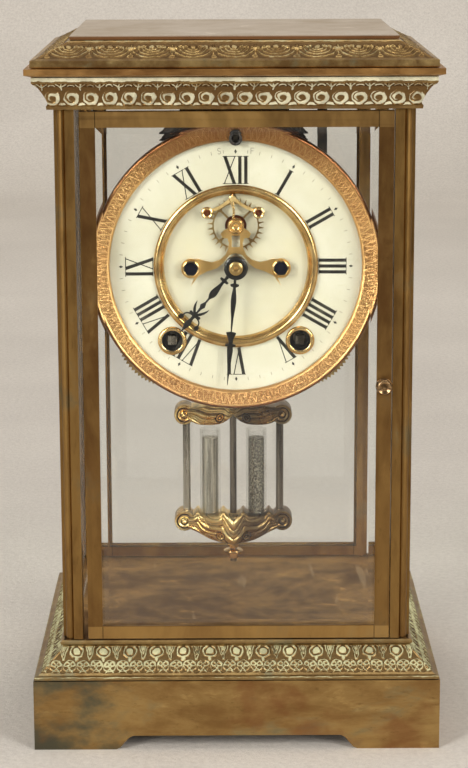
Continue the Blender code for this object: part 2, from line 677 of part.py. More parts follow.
def make_base():
    """The plinth on its bracket feet, the ornamented base moulding and the floor."""
    half_depth = PLINTH_HALF_WIDTH - DEPTH_LESS
    body = block((-PLINTH_HALF_WIDTH, -half_depth, 0.0),
                 (PLINTH_HALF_WIDTH, half_depth, PLINTH_HEIGHT))
    inner_width = PLINTH_HALF_WIDTH - PLINTH_WALL
    inner_depth = half_depth - PLINTH_WALL
    inside = block((-inner_width, -inner_depth, -OVERRUN),
                   (inner_width, inner_depth, PLINTH_HEIGHT - PLINTH_TOP))
    front_gap = foot_gap(PLINTH_HALF_WIDTH, half_depth + OVERRUN)
    side_gap = foot_gap(half_depth, PLINTH_HALF_WIDTH + OVERRUN)
    side_gap.matrix_world = Matrix.Rotation(math.pi / 2, 4, "Z") @ FORWARD
    piece("plinth", "aged_brass", body, cuts=(inside, front_gap, side_gap))

    outer = PLINTH_HALF_WIDTH - BASE_MOULDING_LEDGE
    floor_half = PILLAR_HALF_WIDTH - FLOOR_MARGIN
    inner = floor_half - FLOOR_LEDGE
    ledge_z = FLOOR_Z - FLOOR_THICKNESS - SEAT
    section = profile_of(BASE_SHARES, PILLAR_HALF_WIDTH, outer, MOULDING_Z,
                         BASE_MOULDING_HEIGHT)
    section += [(floor_half + SEAT, FLOOR_Z), (floor_half + SEAT, ledge_z - SEAT),
                (inner, ledge_z - SEAT), (inner, MOULDING_Z)]
    piece("base_moulding", "aged_brass", mitred_ring(section))

    floor = block((-floor_half, DEPTH_LESS - floor_half, ledge_z),
                  (floor_half, floor_half - DEPTH_LESS, ledge_z + FLOOR_THICKNESS))
    piece("floor_plate", "dark_floor", floor, cuts=hinge_holes(ledge_z, FLOOR_THICKNESS))


def hinge_place(front):
    """The door hinge's axis: on the left of the front door, and turned for the rear."""
    x = DOOR_HINGE_X + HINGE_INSET
    y = HINGE_DEPTH - PILLAR_HALF_DEPTH
    return (x, y) if front else (-x, -y)


def hinge_holes(z, thickness):
    """Cutters for both doors' pins through a plate."""
    return [rod(HINGE_PIN_RADIUS + RUN, z - OVERRUN, z + thickness + OVERRUN,
                Matrix.Translation((*hinge_place(front), 0.0)))
            for front in (True, False)]


def make_pillars():
    """Four corner pillars: a bead in the outer corner, and slots for the side glass."""
    start_z = (COLUMN_RADIUS ** 2 - (COLUMN_NOTCH - COLUMN_INSET) ** 2) ** 0.5
    first = math.degrees(math.atan2(-start_z, COLUMN_NOTCH - COLUMN_INSET))
    last = -270.0 - first
    bead = arc(COLUMN_RADIUS, COLUMN_INSET, COLUMN_INSET, first, last, 8)
    slot_width = SIDE_GLASS_THICKNESS + 2 * SEAT
    slot_end = GLASS_SLOT_INSET + slot_width
    slot_floor = PILLAR_SIZE - GLASS_SLOT_DEPTH
    outline = [(COLUMN_NOTCH, 0.0)] + bead + [
        (0.0, COLUMN_NOTCH), (0.0, PILLAR_SIZE), (GLASS_SLOT_INSET, PILLAR_SIZE),
        (GLASS_SLOT_INSET, slot_floor), (slot_end, slot_floor), (slot_end, PILLAR_SIZE),
        (PILLAR_SIZE, PILLAR_SIZE), (PILLAR_SIZE, 0.0)]
    for name, side, end in (("pillar_front_left", -1, -1), ("pillar_front_right", 1, -1),
                            ("pillar_rear_left", -1, 1), ("pillar_rear_right", 1, 1)):
        corner = [(side * (PILLAR_HALF_WIDTH - x), end * (PILLAR_HALF_DEPTH - y))
                  for x, y in outline]
        body = flat([corner], PILLAR_Z, PILLAR_Z + PILLAR_LENGTH, Matrix())
        piece(name, "aged_brass", body)


def make_top():
    """The ceiling plate, the cornice, the slab, the ornamented cap and the top panel."""
    foot = PILLAR_HALF_WIDTH + CORNICE_FOOT_OUT
    inner = foot - CORNICE_WALL
    section = profile_of(CORNICE_SHARES, foot, CORNICE_HALF_WIDTH, CORNICE_Z, CORNICE_HEIGHT)
    section += [(inner, CORNICE_Z + CORNICE_HEIGHT), (inner, CORNICE_Z)]
    piece("cornice_moulding", "aged_brass", mitred_ring(section))

    half = inner - SEAT
    ceiling = block((-half, DEPTH_LESS - half, CORNICE_Z),
                    (half, half - DEPTH_LESS, CORNICE_Z + CEILING_THICKNESS))
    piece("top_plate", "dark_floor", ceiling, cuts=hinge_holes(CORNICE_Z, CEILING_THICKNESS))

    under = SLAB_HALF_WIDTH - SLAB_UNDERCUT
    slab = mitred_block([(under, SLAB_Z), (SLAB_HALF_WIDTH, SLAB_Z + SLAB_THICKNESS / 4),
                         (SLAB_HALF_WIDTH, SLAB_Z + SLAB_THICKNESS)])
    piece("cap_slab", "aged_brass", slab)

    section = profile_of(CAP_SHARES, CAP_TOP_HALF_WIDTH, CAP_HALF_WIDTH, CAP_Z, CAP_HEIGHT)
    inner = CAP_TOP_HALF_WIDTH - CAP_WALL
    section += [(inner, CAP_Z + CAP_HEIGHT), (inner, CAP_Z)]
    piece("cap_moulding", "aged_brass", mitred_ring(section))

    panel = mitred_block([(PANEL_HALF_WIDTH, PANEL_Z),
                          (PANEL_HALF_WIDTH, PANEL_Z + PANEL_THICKNESS)])
    piece("top_panel", "aged_brass", panel)


def make_side_glass():
    """The two side panes, let into slots in the pillars."""
    outer = PILLAR_HALF_WIDTH - GLASS_SLOT_INSET - SEAT
    half = PILLAR_HALF_DEPTH - PILLAR_SIZE + GLASS_SLOT_DEPTH - SEAT
    for name, side in (("side_glass_left", -1), ("side_glass_right", 1)):
        faces = sorted((side * outer, side * (outer - SIDE_GLASS_THICKNESS)))
        glass = pane((faces[0], -half, FLOOR_Z + SIDE_GLASS_END_GAP),
                     (faces[1], half, CORNICE_Z - SIDE_GLASS_END_GAP), 0, side)
        piece(name, "glass", glass)


def make_door(front):
    """A glazed door on two pins, with its knob, spindle and latch. The rear door is
    the front one turned about the case's middle."""
    end = "front" if front else "rear"
    about = Matrix() if front else Matrix.Rotation(math.pi, 4, "Z")
    hinge_x, hinge_y = hinge_place(True)
    hinge = about @ Matrix.Translation((hinge_x, hinge_y, 0.0))
    face = -PILLAR_HALF_DEPTH - hinge_y
    back = face + DOOR_THICKNESS
    low_x = DOOR_HINGE_X - hinge_x
    high_x = DOOR_LATCH_X - hinge_x
    low_z = FLOOR_Z + DOOR_END_GAP
    high_z = CORNICE_Z - 2 * DOOR_END_GAP
    open_low_z = low_z + BOTTOM_RAIL_WIDTH
    open_high_z = high_z - TOP_RAIL_WIDTH

    frame = block((low_x, face, low_z), (high_x, back, high_z), hinge)
    opening = block((low_x + STILE_WIDTH, face - OVERRUN, open_low_z),
                    (high_x - STILE_WIDTH, back + OVERRUN, open_high_z), hinge)
    rebate = block((low_x + STILE_WIDTH - REBATE_WIDTH, face + LIP_THICKNESS,
                    open_low_z - REBATE_WIDTH),
                   (high_x - STILE_WIDTH + REBATE_WIDTH, back + OVERRUN,
                    open_high_z + REBATE_WIDTH), hinge)
    knob_x = high_x - STILE_WIDTH / 2
    knob_place = hinge @ Matrix.Translation((knob_x, 0.0, KNOB_HEIGHT)) @ FORWARD
    spindle_hole = rod(SPINDLE_RADIUS + RUN, -back - OVERRUN, -face + OVERRUN, knob_place)
    pins = [rod(HINGE_PIN_RADIUS, low_z - HINGE_PIN_REACH, low_z + HINGE_PIN_REACH, hinge),
            rod(HINGE_PIN_RADIUS, high_z - HINGE_PIN_REACH,
                high_z + HINGE_PIN_REACH + DOOR_END_GAP, hinge)]
    piece(end + "_door_frame", "aged_brass", frame, joins=pins,
          cuts=(opening, rebate, spindle_hole))

    inset = REBATE_WIDTH - GLASS_MARGIN
    rim_face = face + LIP_THICKNESS + SEAT
    glass = pane((low_x + STILE_WIDTH - inset, rim_face - GLASS_RISE, open_low_z - inset),
                 (high_x - STILE_WIDTH + inset, rim_face + GLASS_RIM, open_high_z + inset),
                 1, -1, hinge)
    piece(end + "_door_glass", "glass", glass)

    outer = -face + SEAT
    head = lathe([(KNOB_RADIUS * out, outer + KNOB_LENGTH * up) for out, up in KNOB_SHARES],
                 knob_place, ROUND_SIDES, closed=False)
    tongue_front = -back - RUN
    tongue_back = tongue_front - LATCH_THICKNESS
    spindle = rod(SPINDLE_RADIUS, tongue_back + STEP, outer + KNOB_LENGTH / 2, knob_place)
    tongue = block((-LATCH_HALF_HEIGHT, -LATCH_HALF_HEIGHT, tongue_back),
                   (LATCH_REACH, LATCH_HALF_HEIGHT, tongue_front), knob_place)
    piece(end + "_door_knob", "aged_brass", head, joins=(spindle, tongue))


def zigzag(teeth, pitch_radius, phase=0.0, tip=None, root=None):
    """A wheel's edge: pointed teeth between a tip and a root circle, and the angle of
    one tooth in radians."""
    points = []
    high = tip or pitch_radius + TOOTH_TIP
    low = root or pitch_radius - TOOTH_ROOT
    for tooth in range(teeth):
        for radius, shift in ((high, 0.0), (low, 0.5)):
            turn = phase + 2 * math.pi * (tooth + shift) / teeth
            points.append((radius * math.cos(turn), radius * math.sin(turn)))
    return points


def spaces(outer, inner, width, count):
    """The openings between a wheel's spokes."""
    found = []
    for index in range(count):
        middle = 360.0 * (index + 0.5) / count
        far = 180.0 / count - math.degrees(math.asin(width / 2 / outer))
        near = 180.0 / count - math.degrees(math.asin(width / 2 / inner))
        found.append(arc(outer, 0.0, 0.0, middle - far, middle + far, 5)
                     + arc(inner, 0.0, 0.0, middle + near, middle - near, 1))
    return found


def mesh_phase(here, there, teeth, other_teeth, phase=0.0):
    """The angle of one tooth of the gear there, so that it meshes with the gear here,
    which has a tooth at the given phase."""
    line = math.atan2(there[1] - here[1], there[0] - here[0])
    return line + math.pi + math.pi / other_teeth - (phase - line) * teeth / other_teeth


def meeting(here, reach_here, there, reach_there, side):
    """Where two circles cross: a gear's place from the arbors it meshes with."""
    across, up = there[0] - here[0], there[1] - here[1]
    apart = math.hypot(across, up)
    along = (reach_here ** 2 - reach_there ** 2 + apart ** 2) / (2 * apart)
    off = side * (reach_here ** 2 - along ** 2) ** 0.5
    return (here[0] + (across * along - up * off) / apart,
            here[1] + (up * along + across * off) / apart)


MAIN_PINION_RADIUS = MAIN_PITCH_RADIUS * MAIN_PINION_TEETH / MAIN_TEETH
CENTRE_PINION_RADIUS = SECOND_PITCH_RADIUS * CENTRE_PINION_TEETH / SECOND_TEETH
THIRD_PINION_RADIUS = CENTRE_PITCH_RADIUS * THIRD_PINION_TEETH / CENTRE_TEETH
ESCAPE_PINION_RADIUS = THIRD_PITCH_RADIUS * ESCAPE_PINION_TEETH / THIRD_TEETH
CENTRE_PLACE = (0.0, 0.0)
ESCAPE_PLACE = (0.0, ESCAPE_UP)
SECOND_PLACE = meeting(CENTRE_PLACE, SECOND_PITCH_RADIUS + CENTRE_PINION_RADIUS,
                       BARREL_PLACE, MAIN_PITCH_RADIUS + MAIN_PINION_RADIUS, -1)
THIRD_PLACE = meeting(CENTRE_PLACE, CENTRE_PITCH_RADIUS + THIRD_PINION_RADIUS,
                      ESCAPE_PLACE, THIRD_PITCH_RADIUS + ESCAPE_PINION_RADIUS, -1)
PIN_WHEEL_PLACE = (-SECOND_PLACE[0], SECOND_PLACE[1])
ANCHOR_PLACE = (PENDULUM_X - DIAL_X, ANCHOR_UP)
REGULATOR_PLACE = (0.0, REGULATOR_UP)
ARBORS = ((BARREL_PLACE, WINDING_ARBOR_RADIUS), (STRIKE_PLACE, WINDING_ARBOR_RADIUS),
          (CENTRE_PLACE, CENTRE_ARBOR_RADIUS), (SECOND_PLACE, ARBOR_RADIUS),
          (THIRD_PLACE, ARBOR_RADIUS), (ESCAPE_PLACE, ARBOR_RADIUS),
          (ANCHOR_PLACE, ARBOR_RADIUS), (PIN_WHEEL_PLACE, ARBOR_RADIUS),
          (HAMMER_PLACE, ARBOR_RADIUS))


def make_plates():
    """Two round plates with a hole for each arbor, and the back plate's pillars."""
    place = from_dial()
    holes = [circle(radius + RUN, *spot) for spot, radius in ARBORS]
    screws = [circle(SCREW_SHANK_RADIUS + RUN, side * BRIDGE_HALF_SPAN, -BRIDGE_DROP)
              for side in (-1, 1)]
    rim = circle(PLATE_RADIUS, sides=FINE_SIDES)
    front = flat([rim] + holes + screws, FRONT_PLATE_DEPTH,
                 FRONT_PLATE_DEPTH + PLATE_THICKNESS, place)
    piece("front_plate", "clock_brass", front)
    back = flat([rim] + holes, BACK_PLATE_DEPTH, BACK_PLATE_DEPTH + PLATE_THICKNESS, place)
    pillars = [rod(PLATE_PILLAR_RADIUS, BACK_PLATE_DEPTH + PLATE_THICKNESS / 2,
                   FRONT_PLATE_DEPTH - SEAT, place, across=x, up=y)
               for x, y in PLATE_PILLAR_PLACES]
    piece("back_plate", "clock_brass", back, joins=pillars)


def make_hanger():
    """The iron bracket that hangs the front plate from the case's ceiling."""
    place = from_dial(HANGER_OFFSET)
    back = FRONT_PLATE_DEPTH + PLATE_THICKNESS + SEAT
    front = back + HANGER_THICKNESS
    top = CORNICE_Z - SEAT - DIAL_Z
    foot = HANGER_FOOT_UP
    half = [(HANGER_NECK_HALF_WIDTH, top), (HANGER_NECK_HALF_WIDTH,
            foot + HANGER_BAR_HEIGHT), (HANGER_BAR_HALF_WIDTH, foot + HANGER_BAR_HEIGHT),
            (HANGER_FOOT_HALF_WIDTH, foot), (HANGER_TAB_HALF_WIDTH, foot + HANGER_BAR_BOW),
            (HANGER_TAB_HALF_WIDTH, foot - HANGER_TAB_LENGTH)]
    hole = rod(REGULATOR_RADIUS + RUN, back - OVERRUN, front + OVERRUN,
               from_dial(*REGULATOR_PLACE))
    body = flat([mirrored(half)], back, front, place)
    flange = block((STEP - HANGER_NECK_HALF_WIDTH, top - HANGER_THICKNESS,
                    back - HANGER_FLANGE_DEPTH),
                   (HANGER_NECK_HALF_WIDTH - STEP, top - STEP,
                    back + HANGER_THICKNESS / 2), place)
    piece("movement_hanger", "black_iron", body, joins=(flange,), cuts=(hole,))


def make_dial():
    """The pan, the porcelain ring and recessed disc, and the brass rings round them."""
    place = from_dial()
    regulator = rod(REGULATOR_HOLE_RADIUS, PAN_BACK, CHAPTER_FRONT + BEZEL_HEIGHT, place,
                    across=REGULATOR_PLACE[0], up=REGULATOR_PLACE[1])
    winding = [rod(GROMMET_BARREL_RADIUS + RUN, PAN_BACK, CHAPTER_FRONT + OVERRUN, place,
                   sides=ROUND_SIDES, across=x, up=y)
               for x, y in (BARREL_PLACE, STRIKE_PLACE)]
    pan = lathe([(PAN_RADIUS, FLANGE_FRONT), (PAN_RADIUS, FLANGE_BACK),
                 (PAN_STEP_RADIUS + PAN_SHEET, FLANGE_BACK),
                 (PAN_STEP_RADIUS + PAN_SHEET, PAN_BACK), (PAN_OPENING_RADIUS, PAN_BACK),
                 (PAN_OPENING_RADIUS, PAN_BACK + PAN_SHEET),
                 (PAN_STEP_RADIUS, PAN_BACK + PAN_SHEET), (PAN_STEP_RADIUS, FLANGE_FRONT)],
                place)
    arbor_hole = rod(ARBOR_HOLE_RADIUS, PAN_BACK - OVERRUN, FLANGE_FRONT, place,
                     across=ANCHOR_PLACE[0], up=ANCHOR_PLACE[1])
    piece("dial_pan", "clock_brass", pan, cuts=[regulator, arbor_hole] + winding)

    chapter = lathe([(CHAPTER_OUTER_RADIUS, CHAPTER_FRONT), (CHAPTER_OUTER_RADIUS,
                     CHAPTER_BACK), (CHAPTER_INNER_RADIUS, CHAPTER_BACK),
                     (CHAPTER_INNER_RADIUS, CHAPTER_FRONT)], place)
    piece("chapter_ring", "porcelain", chapter, cuts=[regulator] + winding)

    holes = [circle(HAND_HOLE_RADIUS), circle(ARBOR_HOLE_RADIUS, *ESCAPE_PLACE),
             circle(ARBOR_HOLE_RADIUS, *ANCHOR_PLACE)]
    holes += [circle(SCREW_SHANK_RADIUS + RUN, side * BRIDGE_HALF_SPAN, -BRIDGE_DROP)
              for side in (-1, 1)]
    disc = flat([circle(DISC_RADIUS, sides=FINE_SIDES)] + holes, DISC_BACK, DISC_FRONT,
                place)
    piece("dial_centre", "porcelain", disc)

    lip = CHAPTER_FRONT + SEAT
    crown = lip + SIGHT_RISE
    sight_back = DISC_FRONT + SEAT
    middle = (SIGHT_OUTER_RADIUS + SIGHT_INNER_RADIUS) / 2
    sight = lathe([(middle, crown), (SIGHT_OUTER_RADIUS - SIGHT_RISE / 3,
                    lip + SIGHT_RISE / 2), (SIGHT_OUTER_RADIUS, lip),
                   (SIGHT_BARREL_RADIUS, lip), (SIGHT_BARREL_RADIUS, sight_back),
                   (SIGHT_INNER_RADIUS, sight_back),
                   (SIGHT_INNER_RADIUS + SIGHT_RISE / 3, lip + SIGHT_RISE / 3)], place)
    piece("sight_ring", "gilt", sight)

    bezel_back = FLANGE_FRONT + SEAT
    bezel_front = bezel_back + BEZEL_HEIGHT
    band_drop = BEZEL_HEIGHT / 5
    seat_radius = CHAPTER_OUTER_RADIUS + SEAT
    bezel = lathe([(BEZEL_RADIUS - band_drop, bezel_front),
                   (BEZEL_RADIUS, bezel_front - band_drop), (BEZEL_RADIUS, bezel_back),
                   (seat_radius, bezel_back), (seat_radius, lip),
                   (BEZEL_LIP_RADIUS, lip), (BEZEL_LIP_RADIUS + band_drop / 2,
                                             bezel_front - band_drop)], place)
    piece("bezel", "copper_gilt", bezel, cuts=(regulator,))

    for name, spot in (("winding_grommet_left", BARREL_PLACE),
                       ("winding_grommet_right", STRIKE_PLACE)):
        grommet = lathe([(GROMMET_RADIUS - GROMMET_RISE / 2, lip + GROMMET_RISE),
                         (GROMMET_RADIUS, lip), (GROMMET_BARREL_RADIUS, lip),
                         (GROMMET_BARREL_RADIUS, CHAPTER_BACK),
                         (GROMMET_BORE_RADIUS, CHAPTER_BACK),
                         (GROMMET_BORE_RADIUS, lip + GROMMET_RISE)],
                        from_dial(*spot), ROUND_SIDES)
        piece(name, "gilt", grommet)


# Half of each hand's outline, along it and across it, as shares of its length
MINUTE_HAND_SHARES = ((0.140, 0.013), (0.142, 0.036), (0.160, 0.036), (0.162, 0.013),
                      (0.290, 0.028), (0.500, 0.010), (0.535, 0.038), (0.630, 0.017),
                      (0.645, 0.046), (0.668, 0.046), (0.680, 0.014), (0.740, 0.025),
                      (1.000, 0.002))
HOUR_HAND_SHARES = ((0.190, 0.020), (0.195, 0.055), (0.222, 0.055), (0.228, 0.020),
                    (0.360, 0.045), (0.500, 0.016), (0.560, 0.030), (0.600, 0.150),
                    (0.660, 0.190), (0.690, 0.120), (0.655, 0.060), (0.730, 0.040),
                    (0.745, 0.090), (0.775, 0.090), (0.790, 0.030), (0.860, 0.055),
                    (1.000, 0.003))


def hand_blade(shares, length, angle, depth, place):
    """A hand's blade, turned clockwise to the time it shows."""
    half = [(across * length, along * length) for along, across in shares]
    outline = [(0.0, 0.0)] + half + [(-x, y) for x, y in reversed(half)]
    turned = Matrix.Rotation(-math.radians(angle), 4, "Z")
    spun = [(turned @ Matrix.Translation((x, y, 0.0))).to_translation()[:2]
            for x, y in outline]
    return flat([spun], depth, depth + HAND_THICKNESS, place)


def make_hands():
    """The hour hand on its pipe, and the minute hand with its collet."""
    place = from_dial()
    bore = rod(CENTRE_ARBOR_RADIUS + RUN, HOUR_PIPE_BACK - OVERRUN,
               MINUTE_HAND_DEPTH + HAND_THICKNESS + COLLET_HEIGHT + OVERRUN, place)
    pipe = rod(HOUR_PIPE_RADIUS, HOUR_PIPE_BACK, HOUR_HAND_DEPTH + HAND_THICKNESS, place,
               sides=ROUND_SIDES)
    boss = rod(COLLET_RADIUS, HOUR_HAND_DEPTH - HAND_THICKNESS / 2,
               HOUR_HAND_DEPTH + HAND_THICKNESS - STEP, place, sides=ROUND_SIDES)
    blade = hand_blade(HOUR_HAND_SHARES, HOUR_HAND_LENGTH, HOUR_HAND_ANGLE,
                       HOUR_HAND_DEPTH, place)
    piece("hour_hand", "blued_black", blade, joins=(boss, pipe), cuts=(bore,))

    front = MINUTE_HAND_DEPTH + HAND_THICKNESS
    collet = rod(COLLET_RADIUS, MINUTE_HAND_DEPTH + HAND_THICKNESS / 4,
                 front + COLLET_HEIGHT, place, sides=ROUND_SIDES)
    blade = hand_blade(MINUTE_HAND_SHARES, MINUTE_HAND_LENGTH, MINUTE_HAND_ANGLE,
                       MINUTE_HAND_DEPTH, place)
    piece("minute_hand", "blued_black", blade, joins=(collet,), cuts=(bore,))


def wheel(teeth, radius, back, place, spoke_count=5):
    """A crossed-out wheel with pointed teeth."""
    openings = spaces(radius - TOOTH_ROOT - RIM_WIDTH, HUB_RADIUS, SPOKE_WIDTH, spoke_count)
    return flat([zigzag(teeth, radius)] + openings, back, back + WHEEL_THICKNESS, place)


def pinion(teeth, radius, back, thickness, phase, place):
    """A pinion's leaves, a little longer than the wheel that drives them."""
    return flat([zigzag(teeth, radius, phase)], back - PINION_OVERLAP,
                back + thickness + PINION_OVERLAP, place)


def arbor(place, radius, front):
    """An arbor from the back plate's middle to the front."""
    return rod(radius, BACK_PLATE_DEPTH + PLATE_THICKNESS / 4, front, place)


def make_barrel(name, arbor_name, spot):
    """A spring barrel with its main wheel, and the winding arbor through it."""
    place = from_dial(*spot)
    toothed = flat([zigzag(MAIN_TEETH, MAIN_PITCH_RADIUS)], MAIN_WHEEL_BACK,
                   MAIN_WHEEL_BACK + MAIN_WHEEL_THICKNESS, place)
    drum = rod(DRUM_RADIUS, DRUM_BACK, MAIN_WHEEL_BACK + MAIN_WHEEL_THICKNESS / 2, place,
               sides=FINE_SIDES)
    bore = rod(WINDING_ARBOR_RADIUS + RUN, DRUM_BACK - OVERRUN,
               MAIN_WHEEL_BACK + MAIN_WHEEL_THICKNESS + OVERRUN, place)
    piece(name, "clock_brass", toothed, joins=(drum,), cuts=(bore,))

    shaft = rod(WINDING_ARBOR_RADIUS, BACK_PLATE_DEPTH + PLATE_THICKNESS / 4,
                WINDING_SQUARE_BACK, place)
    half = WINDING_SQUARE / 2
    square = block((-half, -half, WINDING_SQUARE_BACK - OVERRUN),
                   (half, half, WINDING_SQUARE_FRONT), place)
    piece(arbor_name, "steel", shaft, joins=(square,))


def make_train():
    """Wheels and pinions from the barrel to the escape wheel, and the strike's."""
    inner_front = FRONT_PLATE_DEPTH + PLATE_THICKNESS * BEARING_SHARE
    place = from_dial(*SECOND_PLACE)
    phase = mesh_phase(BARREL_PLACE, SECOND_PLACE, MAIN_TEETH, MAIN_PINION_TEETH)
    leaves = pinion(MAIN_PINION_TEETH, MAIN_PINION_RADIUS, MAIN_WHEEL_BACK,
                    MAIN_WHEEL_THICKNESS, phase, place)
    piece("second_wheel", "clock_brass",
          wheel(SECOND_TEETH, SECOND_PITCH_RADIUS, SECOND_WHEEL_BACK, place),
          joins=(leaves, arbor(place, ARBOR_RADIUS, inner_front)))

    place = from_dial()
    phase = mesh_phase(SECOND_PLACE, CENTRE_PLACE, SECOND_TEETH, CENTRE_PINION_TEETH)
    leaves = pinion(CENTRE_PINION_TEETH, CENTRE_PINION_RADIUS, SECOND_WHEEL_BACK,
                    WHEEL_THICKNESS, phase, place)
    shaft = arbor(place, CENTRE_ARBOR_RADIUS, CAP_BACK + ARBOR_CAP_HEIGHT / 2)
    cap = rod(ARBOR_CAP_RADIUS, CAP_BACK, CAP_BACK + ARBOR_CAP_HEIGHT, place,
              sides=ROUND_SIDES)
    piece("centre_wheel", "clock_brass",
          wheel(CENTRE_TEETH, CENTRE_PITCH_RADIUS, CENTRE_WHEEL_BACK, place),
          joins=(leaves, shaft, cap))

    place = from_dial(*THIRD_PLACE)
    phase = mesh_phase(CENTRE_PLACE, THIRD_PLACE, CENTRE_TEETH, THIRD_PINION_TEETH)
    leaves = pinion(THIRD_PINION_TEETH, THIRD_PINION_RADIUS, CENTRE_WHEEL_BACK,
                    WHEEL_THICKNESS, phase, place)
    piece("third_wheel", "clock_brass",
          wheel(THIRD_TEETH, THIRD_PITCH_RADIUS, THIRD_WHEEL_BACK, place),
          joins=(leaves, arbor(place, ARBOR_RADIUS, inner_front)))

    place = from_dial(*ESCAPE_PLACE)
    phase = mesh_phase(THIRD_PLACE, ESCAPE_PLACE, THIRD_TEETH, ESCAPE_PINION_TEETH)
    leaves = pinion(ESCAPE_PINION_TEETH, ESCAPE_PINION_RADIUS, THIRD_WHEEL_BACK,
                    WHEEL_THICKNESS, phase, place)
    rim = []
    for tooth in range(ESCAPE_TEETH):
        for radius, shift in ((ESCAPE_TIP_RADIUS, 0.0), (ESCAPE_ROOT_RADIUS, 0.25),
                              (ESCAPE_ROOT_RADIUS, 0.75)):
            turn = -2 * math.pi * (tooth + shift) / ESCAPE_TEETH
            rim.append((radius * math.cos(turn), radius * math.sin(turn)))
    openings = spaces(ESCAPE_RIM_RADIUS, ESCAPE_HUB_RADIUS, ESCAPE_SPOKE_WIDTH, 4)
    toothed = flat([rim] + openings, ESCAPE_BACK, ESCAPE_BACK + ESCAPE_THICKNESS, place)
    shaft = arbor(place, ARBOR_RADIUS, ESCAPE_BACK + ESCAPE_THICKNESS / 2)
    piece("escape_wheel", "clock_brass", toothed, joins=(leaves, shaft))

    place = from_dial(*PIN_WHEEL_PLACE)
    phase = mesh_phase(STRIKE_PLACE, PIN_WHEEL_PLACE, MAIN_TEETH, MAIN_PINION_TEETH)
    leaves = pinion(MAIN_PINION_TEETH, MAIN_PINION_RADIUS, MAIN_WHEEL_BACK,
                    MAIN_WHEEL_THICKNESS, phase, place)
    pins = [rod(PIN_RADIUS, PIN_WHEEL_BACK - PIN_LENGTH, PIN_WHEEL_BACK + WHEEL_THICKNESS / 2,
                place, sides=6, across=x, up=y)
            for x, y in circle(PIN_CIRCLE_RADIUS, sides=PIN_COUNT)]
    piece("strike_pin_wheel", "clock_brass",
          wheel(PIN_WHEEL_TEETH, PIN_WHEEL_RADIUS, PIN_WHEEL_BACK, place),
          joins=[leaves, arbor(place, ARBOR_RADIUS, inner_front)] + pins)


